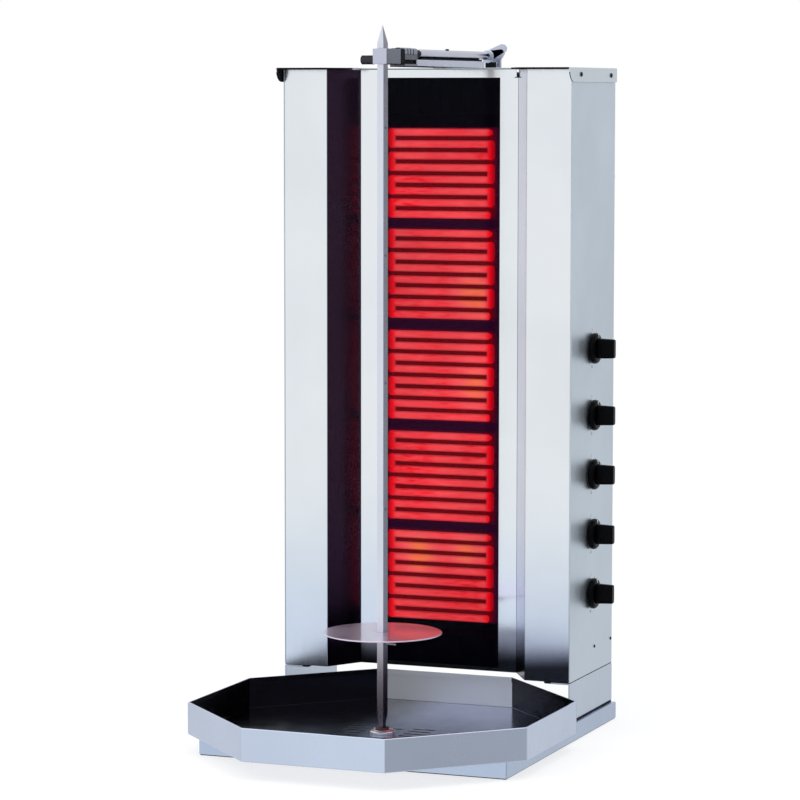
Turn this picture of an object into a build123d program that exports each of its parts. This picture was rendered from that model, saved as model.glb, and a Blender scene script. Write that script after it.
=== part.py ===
"""Electric doner kebab grill: a stainless heater housing with five heating zones, standing on a low
base with an octagonal drip pan and a motor-driven square spit.

Millimetres, +Z up, +Y to the back. The origin is on the spit's axis, at the resting plane.
"""

import os

from build123d import *

os.makedirs("parts", exist_ok=True)

# Sheet steel
sheet = 1.5
heavy_sheet = 2.0

# Fits: a shaft in its bore, a shank in its hole, and a loose passage
running = 0.05
seated = 0.1
clearance = 0.3

# Base
base_width = 516.0
base_front = -135.0
base_back = 408.0
base_height = 28.0
plate_gap = 0.2
base_middle = (base_front + base_back) / 2

# Drip pan, a regular octagon
pan_across = 570.0
pan_height = 52.0
pan_top = base_height + pan_height
pan_floor_top = base_height + heavy_sheet
pan_hem = 8.0
pan_hem_thickness = 3.4
slot_length = 40.0
slot_width = 6.0
slot_x = 52.0
slot_pitch = 20.0
slot_rows = 6

# Drive under the middle of the pan
tray_radius = 92.0
tray_collar = 32.0
tray_bottom = 7.0
tray_rim_height = base_height - 2 * sheet
tray_rim = 8.0
tray_wall = 1.0
motor_radius = 29.0
motor_height = 18.0
motor_ear_span = 74.0
motor_ear_width = 12.0
output_radius = 4.0
output_bottom = 5.7
output_top = 32.0
sleeve_radius = 14.0
sleeve_bottom = 20.0
flange_radius = 20.0
flange_top = 35.0
flange_bevel = 1.5
socket_radius = 11.0
socket_bottom = 21.0
socket_top = 44.0
socket_bevel = 2.0

# Spit and disc
spit_side = 12.0
spit_foot_side = 8.0
spit_turn = -14.3
spit_bottom = 34.0
spit_neck = 46.0
spit_full = 60.0
spit_shoulder = 1113.0
spit_tip = 1147.0
spit_point = 0.8
cross_hole = 1.75
cross_pitch = 200.0
cross_count = 5
disc_radius = 95.0
disc_bottom = 190.0
disc_thickness = 2.0
disc_play = 1.0
disc_bevel = 0.5
pin_radius = 1.5
pin_length = 36.0
pin_tail = 12.0
pin_height = disc_bottom - clearance - pin_radius

# Heater housing
body_half = 250.0
body_front = 187.0
body_back = 408.0
body_bottom = 95.0
body_top = 1080.0
panel_return = 16.0
pillar_inner = 173.0
pillar_lap = 18.0
pillar_return = 21.0
recess_half = 137.5
recess_depth = 60.0
recess_plane = body_front + recess_depth
glass_half = 106.0
glass_low = 101.0
glass_high = 1067.0
glass_thickness = 4.0
glass_edge_half = 124.0
glass_edge_low = 97.0
glass_edge_high = 1073.0
frame_gap = 1.0
floor_gap = 2.5
floor_notch = 4.2

# Back panel
back_gap = 3.0
louvre_length = 130.0
louvre_height = 5.0
louvre_pitch_x = 160.0
louvre_pitch_z = 18.0
louvre_columns = 2
louvre_rows = 6
louvre_banks = (285.0, 970.0)
buffer_x = 236.0
buffer_z = 905.0
buffer_radius = 11.0
buffer_depth = 12.0

# Legs under the housing
cheek_low = 30.0
cheek_flange = 32.0
cheek_notch_depth = 6.0
cheek_notch_height = 9.0
foot_gap = cheek_low - base_height
glide_x = 243.0
glide_width = 10.0
glide_length = 205.0
glide_middle = 300.0

# Cable entry at the back
gland_x = -150.0
gland_z = 130.0
gland_bore = 4.5
gland_radius = 10.0
gland_nut_radius = 15.0
gland_nut_depth = 6.0
gland_inner_end = 8.0
gland_length = 26.0
gland_bevel = 2.0
terminal_half = 35.0
terminal_depth = 24.0
terminal_low = 165.0
terminal_high = 190.0

# Carrier behind the glass
carrier_low = 150.0
carrier_high = 1010.0
carrier_depth = 48.0
carrier_width = 220.0
insulation_half = 105.0
insulation_height = 150.0

# Heating zones
zone_heights = (911.0, 746.0, 579.0, 412.0, 246.5)
bar_count = 8
bar_pitch = 19.2
bar_thickness = 12.4
element_half = 93.0
element_front = recess_plane + 9.0
element_depth = 5.0
insulation_front = element_front + element_depth + 1

# Lid
lid_half = 253.0
lid_front = 163.0
lid_back = 406.0
lid_top = 1083.0
lid_nose = 7.0
lid_notch_depth = 24.0
lid_gap = 1.0
lid_flange_low = 1060.0
lid_round_top = 1080.0
lid_round_middle = (171.5, 1066.0)
lid_screw_places = ((220.0, 1072.0), (374.5, 1071.0))
lid_screw_head = 4.0
cover_screw_places = ((314.0, 136.0), (400.0, 136.0))
cover_screw_head = 2.8
screw_head_height = 2.2
screw_head_taper = 25

# Knobs on the right side
knob_y = 292.5
knob_heights = (629.0, 520.0, 423.0, 325.0, 227.0)
knob_radius = 25.0
knob_skirt = 10.0
knob_shoulder = 20.0
knob_reach = 39.0
knob_stand = 1.5
knob_bevel = 1.5
grip_length = 33.0
grip_width = 15.0
grip_taper = 2.5
shaft_radius = 3.0
shaft_hole = 5.0
shaft_length = 20.0
regulator_width = 42.0
regulator_height = 48.0
regulator_depth = 35.0

# Top arm
rod_height = 1104.0
rod_radius = 6.0
rod_back = 487.0
rod_bevel = 1.0
block_side = 24.0
block_front = -12.0
block_back = 48.0
block_low = 1087.0
block_high = 1111.0
block_middle = (block_low + block_high) / 2
block_bevel = 0.8
bush_outer = 10.5
bush_bore = 8.8
spacer_back = 62.5
spacer_side = 25.0
boss_front = 63.0
boss_width = 26.0
boss_high = 1112.6
spigot_front = 24.0
spigot_radius = 4.0
stop_screw_y = 284.0
stop_screw_radius = 1.5
stop_screw_head = 3.2
clamp_height = 1094.0
clamp_hole = 4.0
clamp_hole_depth = 8.0
clamp_head = 6.5
clamp_length = 20.0
clamp_gap = 1.0
clamp_grip = 1.4
guide_front = 117.0
guide_back = 431.0
guide_height = 12.0
rod_glide_front = 149.0
rod_glide_half = 7.0
lever_front = 478.0
lever_back = 486.0
lever_hub = 11.0
lever_tip = 7.5
lever_tip_x = 25.0
lever_tip_rise = 13.0
lever_foot_drop = 20.0
lever_bevel = 0.8

# Travel of the housing on the base
slide_travel = 45.0
guide_bolt_x = 232.0
guide_bolt_places = (265.0, 385.0)
guide_bolt_radius = 4.0
guide_bolt_head = 7.5
guide_bolt_head_height = 4.5
guide_bolt_reach = 8.0
guide_bolt_head_low = cheek_low + heavy_sheet + clearance
bolt_slot_width = 2 * (guide_bolt_radius + clearance)
bolt_slot_length = slide_travel + bolt_slot_width + clearance

made = {}


def save(name, builder):
    """Label a finished piece and write it."""
    builder.part.label = name
    export_step(builder.part, f"parts/{name}.step")
    made[name] = builder.part


def box_part(x_range, y_range, z_range):
    """A plain block between three pairs of limits."""
    with BuildPart() as block:
        with BuildSketch(Plane.XY.offset(z_range[0])):
            with Locations((sum(x_range) / 2, sum(y_range) / 2)):
                Rectangle(x_range[1] - x_range[0], y_range[1] - y_range[0])
        extrude(amount=z_range[1] - z_range[0])
    return block


def facing_y(y):
    """A plane across Y at y, with local x along X and local y along Z; it faces the front."""
    return Plane.XZ.offset(-y)


def facing_x(x):
    """A plane across X at x, with local x along Y and local y along Z; it faces right."""
    return Plane.YZ.offset(x)


def mirrored(builder):
    """The left-hand twin of a right-hand piece."""
    with BuildPart() as twin:
        add(mirror(builder.part, about=Plane.YZ))
    return twin


def octagon(across):
    """The pan's outline, with flats square to X and Y."""
    return RegularPolygon(across / 2, 8, major_radius=False, rotation=22.5)


# Base tray: a folded sheet box, open below, with a round opening over the grease tray
with BuildPart() as base_tray:
    with BuildSketch():
        with Locations((0, base_middle)):
            Rectangle(base_width, base_back - base_front)
    extrude(amount=base_height)
    offset(amount=-sheet, openings=base_tray.faces().sort_by(Axis.Z)[0])
    with BuildSketch(Plane.XY.offset(base_height)):
        Circle(tray_radius)
        for bolt_y in guide_bolt_places:
            with Locations((-guide_bolt_x, bolt_y), (guide_bolt_x, bolt_y)):
                Circle(guide_bolt_radius + seated)
    extrude(amount=-2 * sheet, mode=Mode.SUBTRACT)
save("base_tray", base_tray)

# Bottom plate: closes the base and rests on the surface
with BuildPart() as bottom_plate:
    with BuildSketch():
        with Locations((0, base_middle)):
            Rectangle(
                base_width - 2 * (sheet + plate_gap), base_back - base_front - 2 * (sheet + plate_gap)
            )
    extrude(amount=sheet)
save("bottom_plate", bottom_plate)

# Drip pan: folded octagon with a hemmed rim, drain slots and the hole for the drive
with BuildPart() as pan:
    with BuildSketch(Plane.XY.offset(base_height)):
        octagon(pan_across)
    extrude(amount=pan_height)
    with BuildSketch(Plane.XY.offset(pan_floor_top)):
        octagon(pan_across - 2 * sheet)
    extrude(amount=pan_height - pan_hem - heavy_sheet, mode=Mode.SUBTRACT)
    with BuildSketch(Plane.XY.offset(pan_top - pan_hem)):
        octagon(pan_across - 2 * pan_hem_thickness)
    extrude(amount=pan_hem, mode=Mode.SUBTRACT)
    with BuildSketch(Plane.XY.offset(base_height)):
        Circle(sleeve_radius + seated)
        with GridLocations(2 * slot_x, slot_pitch, 2, slot_rows):
            Rectangle(slot_length, slot_width)
        with GridLocations(0, 4 * slot_pitch, 1, 2):
            Rectangle(slot_length, slot_width)
    extrude(amount=heavy_sheet, mode=Mode.SUBTRACT)
save("pan", pan)

# Grease tray: a ring-shaped dish hung under the base's opening
with BuildPart() as grease_tray:
    with BuildSketch(Plane.XZ):
        with BuildLine():
            Polyline(
                (tray_collar, tray_rim_height),
                (tray_collar, tray_bottom),
                (tray_radius - tray_rim, tray_bottom),
                (tray_radius - tray_wall, tray_rim_height),
                (tray_radius + tray_rim, tray_rim_height),
            )
            offset(amount=tray_wall, side=Side.LEFT, kind=Kind.INTERSECTION)
        make_face()
    revolve(axis=Axis.Z)
save("grease_tray", grease_tray)

# Gearmotor: flat can with two ears, bored for its output shaft
with BuildPart() as gearmotor:
    with BuildSketch(Plane.XY.offset(sheet)):
        Circle(motor_radius)
    extrude(amount=motor_height)
    with BuildSketch(Plane.XY.offset(sheet)):
        SlotOverall(motor_ear_span, motor_ear_width)
    extrude(amount=sheet)
    with BuildSketch(Plane.XY.offset(output_bottom - seated)):
        Circle(output_radius + running)
    extrude(amount=motor_height, mode=Mode.SUBTRACT)
save("gearmotor", gearmotor)

with BuildPart() as output_shaft:
    with BuildSketch(Plane.XY.offset(output_bottom)):
        Circle(output_radius)
    extrude(amount=output_top - output_bottom)
save("output_shaft", output_shaft)

# Bearing flange: a shouldered ring on the pan floor, with a sleeve down through it
with BuildPart() as bearing_flange:
    with BuildSketch(Plane.XY.offset(sleeve_bottom)):
        Circle(sleeve_radius)
    extrude(amount=flange_top - sleeve_bottom)
    with BuildSketch(Plane.XY.offset(pan_floor_top)):
        Circle(flange_radius)
    extrude(amount=flange_top - pan_floor_top)
    chamfer(bearing_flange.edges().group_by(Axis.Z)[-1], flange_bevel)
    with BuildSketch(Plane.XY.offset(sleeve_bottom)):
        Circle(socket_radius + running)
    extrude(amount=flange_top, mode=Mode.SUBTRACT)
save("bearing_flange", bearing_flange)

# Drive socket: bronze cup with a square hole that takes the spit's foot
with BuildPart() as drive_socket:
    with BuildSketch(Plane.XZ):
        with BuildLine():
            Polyline(
                (0, socket_bottom),
                (socket_radius, socket_bottom),
                (socket_radius, socket_top - socket_bevel),
                (socket_radius - socket_bevel, socket_top),
                (0, socket_top),
                close=True,
            )
        make_face()
    revolve(axis=Axis.Z)
    with BuildSketch(Plane.XY.offset(spit_bottom - clearance)):
        Rectangle(
            spit_foot_side + 2 * clearance, spit_foot_side + 2 * clearance, rotation=spit_turn
        )
    extrude(amount=socket_top, mode=Mode.SUBTRACT)
    with BuildSketch(Plane.XY.offset(socket_bottom)):
        Circle(output_radius)
    extrude(amount=output_top - socket_bottom, mode=Mode.SUBTRACT)
save("drive_socket", drive_socket)

# Spit: square bar with a pyramid point, a tapered foot and cross holes for the pin
with BuildPart() as spit:
    with BuildSketch(Plane.XY.offset(spit_bottom)):
        Rectangle(spit_foot_side, spit_foot_side, rotation=spit_turn)
    extrude(amount=spit_neck - spit_bottom)
    with BuildSketch(Plane.XY.offset(spit_neck)):
        Rectangle(spit_foot_side, spit_foot_side, rotation=spit_turn)
    with BuildSketch(Plane.XY.offset(spit_full)):
        Rectangle(spit_side, spit_side, rotation=spit_turn)
    loft()
    with BuildSketch(Plane.XY.offset(spit_full)):
        Rectangle(spit_side, spit_side, rotation=spit_turn)
    extrude(amount=spit_shoulder - spit_full)
    with BuildSketch(Plane.XY.offset(spit_shoulder)):
        Rectangle(spit_side, spit_side, rotation=spit_turn)
    with BuildSketch(Plane.XY.offset(spit_tip)):
        Rectangle(spit_point, spit_point, rotation=spit_turn)
    loft()
    across_spit = Vector(1, 0, 0).rotate(Axis.Z, spit_turn)
    pin_plane = Plane((0, 0, pin_height), x_dir=(0, 0, 1), z_dir=across_spit)
    with BuildSketch(pin_plane):
        with Locations(*[(k * cross_pitch, 0) for k in range(cross_count)]):
            Circle(cross_hole)
    extrude(amount=spit_side, both=True, mode=Mode.SUBTRACT)
save("spit", spit)

with BuildPart() as disc_pin:
    with BuildSketch(pin_plane.offset(-pin_tail)):
        Circle(pin_radius)
    extrude(amount=pin_length)
save("disc_pin", disc_pin)

# Meat disc with a square hole that slides on the spit
with BuildPart() as disc:
    with BuildSketch(Plane.XY.offset(disc_bottom)):
        Circle(disc_radius)
        Rectangle(
            spit_side + disc_play, spit_side + disc_play, rotation=spit_turn, mode=Mode.SUBTRACT
        )
    extrude(amount=disc_thickness)
    chamfer(disc.edges().filter_by(GeomType.CIRCLE), disc_bevel)
save("disc", disc)

# Glide strips between the base and the cheeks' foot flanges
with BuildPart() as glide_strips:
    with BuildSketch(Plane.XY.offset(base_height)):
        with Locations((-glide_x, glide_middle), (glide_x, glide_middle)):
            Rectangle(glide_width, glide_length)
    extrude(amount=foot_gap)
save("glide_strips", glide_strips)

# Shoulder bolts that keep the housing down and guide it in the cheeks' slots
with BuildPart() as guide_bolts:
    for side in (-1, 1):
        for bolt_y in guide_bolt_places:
            with BuildSketch(Plane.XY.offset(base_height - guide_bolt_reach)):
                with Locations((side * guide_bolt_x, bolt_y)):
                    Circle(guide_bolt_radius)
            extrude(amount=guide_bolt_head_low - base_height + guide_bolt_reach)
            with BuildSketch(Plane.XY.offset(guide_bolt_head_low)):
                with Locations((side * guide_bolt_x, bolt_y)):
                    RegularPolygon(guide_bolt_head, 6)
            extrude(amount=guide_bolt_head_height)
save("guide_bolts", guide_bolts)

# Cheeks: C-shaped legs that carry the housing, with slots for the shoulder bolts
with BuildPart() as right_cheek:
    with BuildSketch(facing_y(body_front)):
        with BuildLine():
            Polyline(
                (body_half - cheek_flange, body_bottom),
                (body_half, body_bottom),
                (body_half, cheek_low),
                (body_half - cheek_flange, cheek_low),
            )
            offset(amount=heavy_sheet, side=Side.RIGHT, kind=Kind.INTERSECTION)
        make_face()
    extrude(amount=body_front - body_back)
    with BuildSketch(Plane.XY.offset(cheek_low)):
        for bolt_y in guide_bolt_places:
            with Locations((guide_bolt_x, bolt_y - slide_travel / 2)):
                SlotOverall(bolt_slot_length, bolt_slot_width, rotation=90)
    extrude(amount=heavy_sheet, mode=Mode.SUBTRACT)
    with BuildSketch(facing_x(body_half)):
        with BuildLine():
            Polyline(
                (body_front, body_bottom - cheek_notch_height),
                (body_front, body_bottom),
                (body_front + cheek_notch_depth, body_bottom),
                close=True,
            )
        make_face()
    extrude(amount=-heavy_sheet, mode=Mode.SUBTRACT)
save("right_cheek", right_cheek)
left_cheek = mirrored(right_cheek)
save("left_cheek", left_cheek)

# Side panels: folded round the rear corner; the right one is pierced for the knob shafts
with BuildPart() as left_side_panel:
    with BuildSketch(Plane.XY.offset(body_bottom)):
        with BuildLine():
            Polyline(
                (-body_half, body_front),
                (-body_half, body_back),
                (-body_half + panel_return, body_back),
            )
            offset(amount=sheet, side=Side.RIGHT, kind=Kind.INTERSECTION)
        make_face()
    extrude(amount=body_top - body_bottom)
save("left_side_panel", left_side_panel)
with BuildPart() as right_side_panel:
    add(mirror(left_side_panel.part, about=Plane.YZ))
    with BuildSketch(facing_x(body_half)):
        with Locations(*[(knob_y, z) for z in knob_heights]):
            Circle(shaft_hole)
    extrude(amount=-sheet, mode=Mode.SUBTRACT)
save("right_side_panel", right_side_panel)

# Pillar covers: front face, angled wing and a return flange behind the glass frame
with BuildPart() as right_pillar:
    with BuildSketch(Plane.XY.offset(body_bottom)):
        with BuildLine():
            Polyline(
                (body_half - sheet, body_front + pillar_lap),
                (body_half - sheet, body_front),
                (pillar_inner, body_front),
                (recess_half, recess_plane),
                (recess_half, recess_plane + pillar_return),
            )
            offset(amount=sheet, side=Side.RIGHT, kind=Kind.INTERSECTION)
        make_face()
    extrude(amount=body_top - body_bottom)
save("right_pillar", right_pillar)
left_pillar = mirrored(right_pillar)
save("left_pillar", left_pillar)

# Glass frame, ceramic glass and the carrier that clamps the glass from behind
with BuildPart() as glass_frame:
    with BuildSketch(facing_y(recess_plane)):
        with Locations((0, (body_bottom + body_top) / 2)):
            Rectangle(2 * (recess_half - frame_gap), body_top - body_bottom)
        with Locations((0, (glass_low + glass_high) / 2)):
            Rectangle(2 * glass_half, glass_high - glass_low, mode=Mode.SUBTRACT)
    extrude(amount=-sheet)
save("glass_frame", glass_frame)

glass_front = recess_plane + sheet
glass_back = glass_front + glass_thickness
glass = box_part(
    (-glass_edge_half, glass_edge_half),
    (glass_front, glass_back),
    (glass_edge_low, glass_edge_high),
)
save("glass", glass)

with BuildPart() as element_carrier:
    with BuildSketch(facing_y(glass_back)):
        with Locations((0, (carrier_low + carrier_high) / 2)):
            Rectangle(carrier_width, carrier_high - carrier_low)
    extrude(amount=-carrier_depth)
    offset(amount=-sheet, openings=element_carrier.faces().sort_by(Axis.Y)[0])
    with BuildSketch(facing_y(glass_back)):
        with Locations((0, (glass_low + glass_high) / 2)):
            Rectangle(2 * (recess_half - seated), glass_high - glass_low)
        with Locations((0, (carrier_low + carrier_high) / 2)):
            Rectangle(
                carrier_width - 2 * sheet, carrier_high - carrier_low - 2 * sheet, mode=Mode.SUBTRACT
            )
    extrude(amount=-sheet)
save("element_carrier", element_carrier)

with BuildPart() as insulation:
    with BuildSketch(facing_y(insulation_front)):
        with Locations(*[(0, z) for z in zone_heights]):
            Rectangle(2 * insulation_half, insulation_height)
    extrude(amount=insulation_front - glass_back - carrier_depth + sheet)
save("insulation", insulation)

# Heating elements: eight bars each, joined end to end by tight turns
bar_end = element_half - bar_thickness / 2
for number, zone in enumerate(zone_heights, 1):
    path_points = []
    for bar in range(bar_count):
        z = zone + (bar_count - 1) * bar_pitch / 2 - bar * bar_pitch
        ends = (bar_end, -bar_end) if bar % 2 == 0 else (-bar_end, bar_end)
        path_points += [(ends[0], z), (ends[1], z)]
    with BuildPart() as element:
        with BuildSketch(facing_y(element_front)):
            with BuildLine():
                Polyline(*path_points)
                offset(amount=bar_thickness / 2, kind=Kind.INTERSECTION)
            make_face()
        extrude(amount=-element_depth)
    save(f"element_{number}", element)

# Heater floor, following the recess in plan and notched for the pillars' returns
floor_side = body_half - sheet - floor_gap
floor_back = body_back - 2 * sheet - floor_gap
with BuildPart() as heater_floor:
    with BuildSketch(Plane.XY.offset(body_bottom)):
        with BuildLine():
            Polyline(
                (floor_side, floor_back),
                (floor_side, body_front + floor_gap),
                (pillar_inner + floor_gap, body_front + floor_gap),
                (recess_half + floor_gap, recess_plane + floor_gap),
                (-recess_half - floor_gap, recess_plane + floor_gap),
                (-pillar_inner - floor_gap, body_front + floor_gap),
                (-floor_side, body_front + floor_gap),
                (-floor_side, floor_back),
                close=True,
            )
        make_face()
        for side in (-1, 1):
            with Locations((side * (recess_half + sheet), recess_plane + pillar_return / 2)):
                Rectangle(floor_notch, pillar_return + floor_notch, mode=Mode.SUBTRACT)
    extrude(amount=sheet)
save("heater_floor", heater_floor)

# Back panel with two banks of louvre slots and the cable entry
panel_back = body_back - sheet
panel_front = panel_back - sheet
with BuildPart() as back_panel:
    with BuildSketch(facing_y(panel_front)):
        with Locations((0, (body_bottom + body_top) / 2)):
            Rectangle(2 * (body_half - back_gap), body_top - body_bottom - 2 * back_gap)
        with Locations(*[(0, z) for z in louvre_banks]):
            with GridLocations(louvre_pitch_x, louvre_pitch_z, louvre_columns, louvre_rows):
                Rectangle(louvre_length, louvre_height, mode=Mode.SUBTRACT)
        with Locations((gland_x, gland_z)):
            Circle(gland_radius + seated, mode=Mode.SUBTRACT)
    extrude(amount=-sheet)
save("back_panel", back_panel)

# Cable gland and terminal block on the back panel
with BuildPart() as cable_gland:
    with BuildSketch(facing_y(panel_back)):
        with Locations((gland_x, gland_z)):
            RegularPolygon(gland_nut_radius, 6)
    extrude(amount=-gland_nut_depth)
    with BuildSketch(facing_y(body_back - gland_inner_end)):
        with Locations((gland_x, gland_z)):
            Circle(gland_radius)
    extrude(amount=-gland_length)
    chamfer(cable_gland.edges().filter_by(GeomType.CIRCLE).sort_by(Axis.Y)[-1], gland_bevel)
    with BuildSketch(facing_y(body_back - gland_inner_end)):
        with Locations((gland_x, gland_z)):
            Circle(gland_bore)
    extrude(amount=-gland_length, mode=Mode.SUBTRACT)
save("cable_gland", cable_gland)

terminal_block = box_part(
    (gland_x - terminal_half, gland_x + terminal_half),
    (panel_front - terminal_depth, panel_front),
    (terminal_low, terminal_high),
)
save("terminal_block", terminal_block)

# Lid: overhangs the pillars and wings, follows the recess, and has two side flanges
with BuildPart() as lid:
    with BuildSketch(Plane.XY.offset(body_top)):
        with BuildLine():
            Polyline(
                (lid_half, lid_back),
                (lid_half, lid_front),
                (pillar_inner - lid_nose, lid_front),
                (recess_half, body_front + lid_notch_depth),
                (recess_half, recess_plane),
                (-recess_half, recess_plane),
                (-recess_half, body_front + lid_notch_depth),
                (-pillar_inner + lid_nose, lid_front),
                (-lid_half, lid_front),
                (-lid_half, lid_back),
                close=True,
            )
        make_face()
    extrude(amount=lid_top - body_top)
    for side in (-1, 1):
        with BuildSketch(facing_x(side * (body_half + lid_gap))):
            with BuildLine():
                Polyline(
                    (body_front, lid_flange_low),
                    (lid_back, lid_flange_low),
                    (lid_back, lid_top),
                    (lid_front, lid_top),
                    (lid_front, lid_round_top),
                )
                ThreePointArc(
                    (lid_front, lid_round_top), lid_round_middle, (body_front, lid_flange_low)
                )
            make_face()
        extrude(amount=side * (lid_half - body_half - lid_gap))
save("lid", lid)

# Screw heads on both sides: two hold the lid's flange, two the cover below the knobs
def side_screws(places, outside, head):
    """Tapered screw heads along X on both sides of the housing."""
    with BuildPart() as screws:
        for side in (-1, 1):
            with BuildSketch(facing_x(side * outside)):
                with Locations(*places):
                    Circle(head)
            extrude(amount=side * screw_head_height, taper=screw_head_taper)
    return screws


lid_screws = side_screws(lid_screw_places, lid_half, lid_screw_head)
save("lid_screws", lid_screws)
cover_screws = side_screws(cover_screw_places, body_half, cover_screw_head)
save("cover_screws", cover_screws)

# Rear buffers that keep the housing off a wall
with BuildPart() as rear_buffers:
    with BuildSketch(facing_y(body_back)):
        with Locations((-buffer_x, buffer_z), (buffer_x, buffer_z)):
            Circle(buffer_radius)
    extrude(amount=-buffer_depth, taper=6)
save("rear_buffers", rear_buffers)

# Energy regulators behind the right side panel
regulator_face = body_half - sheet
with BuildPart() as regulators:
    with BuildSketch(facing_x(regulator_face - regulator_depth)):
        with Locations(*[(knob_y, z) for z in knob_heights]):
            Rectangle(regulator_width, regulator_height)
    extrude(amount=regulator_depth)
save("regulators", regulators)

# Knobs: a turned skirt with a dished shoulder and a tapered bar grip, each on its own shaft
for number, z in enumerate(knob_heights, 1):
    with BuildPart() as shaft:
        with BuildSketch(facing_x(regulator_face)):
            with Locations((knob_y, z)):
                Circle(shaft_radius)
        extrude(amount=shaft_length)
    save(f"knob_shaft_{number}", shaft)
    knob_back = body_half + knob_stand
    skirt_front = knob_back + knob_skirt
    with BuildPart() as knob:
        with BuildSketch(Plane.XY.offset(z)):
            with BuildLine():
                Polyline(
                    (knob_back, knob_y),
                    (knob_back, knob_y + knob_radius),
                    (skirt_front - 2 * knob_bevel, knob_y + knob_radius),
                    (skirt_front, knob_y + knob_shoulder),
                    (skirt_front, knob_y),
                    close=True,
                )
            make_face()
        revolve(axis=Axis((0, knob_y, z), (1, 0, 0)))
        with BuildSketch(facing_x(skirt_front - knob_bevel)):
            with Locations((knob_y, z)):
                SlotOverall(grip_length, grip_width, rotation=90)
        extrude(amount=body_half + knob_reach - skirt_front + knob_bevel, taper=grip_taper)
        with BuildSketch(facing_x(knob_back)):
            with Locations((knob_y, z)):
                Circle(shaft_radius)
        extrude(amount=shaft_length - sheet - knob_stand, mode=Mode.SUBTRACT)
    save(f"knob_{number}", knob)

# Arm guide on the lid: rectangular tube, glide strip and the boss that guides the rod
with BuildPart() as arm_guide:
    with BuildSketch(facing_y(guide_front)):
        with Locations((0, lid_top + guide_height / 2)):
            RectangleRounded(block_side, guide_height, sheet)
            Rectangle(
                block_side - 2 * heavy_sheet, guide_height - 2 * heavy_sheet, mode=Mode.SUBTRACT
            )
    extrude(amount=guide_front - guide_back)
save("arm_guide", arm_guide)

rod_glide = box_part(
    (-rod_glide_half, rod_glide_half),
    (rod_glide_front, guide_back),
    (lid_top + guide_height, rod_height - rod_radius - clearance),
)
save("rod_glide", rod_glide)

with BuildPart() as guide_boss:
    with BuildSketch(facing_y(boss_front)):
        with Locations((0, (lid_top + boss_high) / 2)):
            RectangleRounded(boss_width, boss_high - lid_top, boss_width / 6)
        with Locations((0, rod_height)):
            Circle(rod_radius + running, mode=Mode.SUBTRACT)
    extrude(amount=boss_front - guide_front)
save("guide_boss", guide_boss)

# Bearing block, its bronze bush, the spacer, the rod and the clamp screw
with BuildPart() as bearing_block:
    with BuildSketch(facing_y(block_front)):
        with Locations((0, block_middle)):
            Rectangle(block_side, block_high - block_low)
    extrude(amount=block_front - block_back)
    chamfer(bearing_block.edges(), block_bevel)
    with BuildSketch(Plane.XY.offset(block_low)):
        Circle(bush_outer)
    extrude(amount=block_side, mode=Mode.SUBTRACT)
    with BuildSketch(facing_y(spigot_front)):
        with Locations((0, rod_height)):
            Circle(spigot_radius + running)
    extrude(amount=spigot_front - block_back, mode=Mode.SUBTRACT)
    with BuildSketch(facing_x(-block_side / 2)):
        with Locations((0, clamp_height)):
            Circle(clamp_hole)
    extrude(amount=clamp_hole_depth, mode=Mode.SUBTRACT)
save("bearing_block", bearing_block)

with BuildPart() as block_bush:
    with BuildSketch(Plane.XY.offset(block_low)):
        Circle(bush_outer)
        Circle(bush_bore, mode=Mode.SUBTRACT)
    extrude(amount=block_side)
save("block_bush", block_bush)

with BuildPart() as arm_spacer:
    with BuildSketch(facing_y(block_back)):
        with Locations((0, block_middle)):
            RectangleRounded(spacer_side, spacer_side, heavy_sheet)
        with Locations((0, rod_height)):
            Circle(rod_radius, mode=Mode.SUBTRACT)
    extrude(amount=block_back - spacer_back)
save("arm_spacer", arm_spacer)

with BuildPart() as arm_rod:
    with BuildSketch(facing_y(block_back)):
        with Locations((0, rod_height)):
            Circle(rod_radius)
    extrude(amount=block_back - rod_back)
    chamfer(arm_rod.edges().sort_by(Axis.Y)[-1], rod_bevel)
    with BuildSketch(facing_y(spigot_front)):
        with Locations((0, rod_height)):
            Circle(spigot_radius)
    extrude(amount=spigot_front - block_back)
    with BuildSketch(Plane.XY.offset(rod_height)):
        with Locations((0, stop_screw_y)):
            Circle(stop_screw_radius)
    extrude(amount=rod_radius, mode=Mode.SUBTRACT)
save("arm_rod", arm_rod)

with BuildPart() as stop_screw:
    with BuildSketch(Plane.XY.offset(rod_height)):
        with Locations((0, stop_screw_y)):
            Circle(stop_screw_radius)
    extrude(amount=rod_radius)
    with BuildSketch(Plane.XY.offset(rod_height + rod_radius)):
        with Locations((0, stop_screw_y)):
            Circle(stop_screw_head)
    extrude(amount=screw_head_height, taper=screw_head_taper)
save("stop_screw", stop_screw)

# Clamp screw in the block's left side
with BuildPart() as clamp_screw:
    with BuildSketch(facing_x(-block_side / 2 - clamp_gap)):
        with Locations((0, clamp_height)):
            Circle(clamp_head)
    extrude(amount=-clamp_length)
    chamfer(clamp_screw.edges().sort_by(Axis.X)[0], rod_bevel)
    with BuildSketch(facing_x(-block_side / 2 - clamp_gap)):
        with Locations((0, clamp_height)):
            Circle(clamp_hole - running)
    extrude(amount=clamp_gap + clamp_grip)
save("clamp_screw", clamp_screw)

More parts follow.
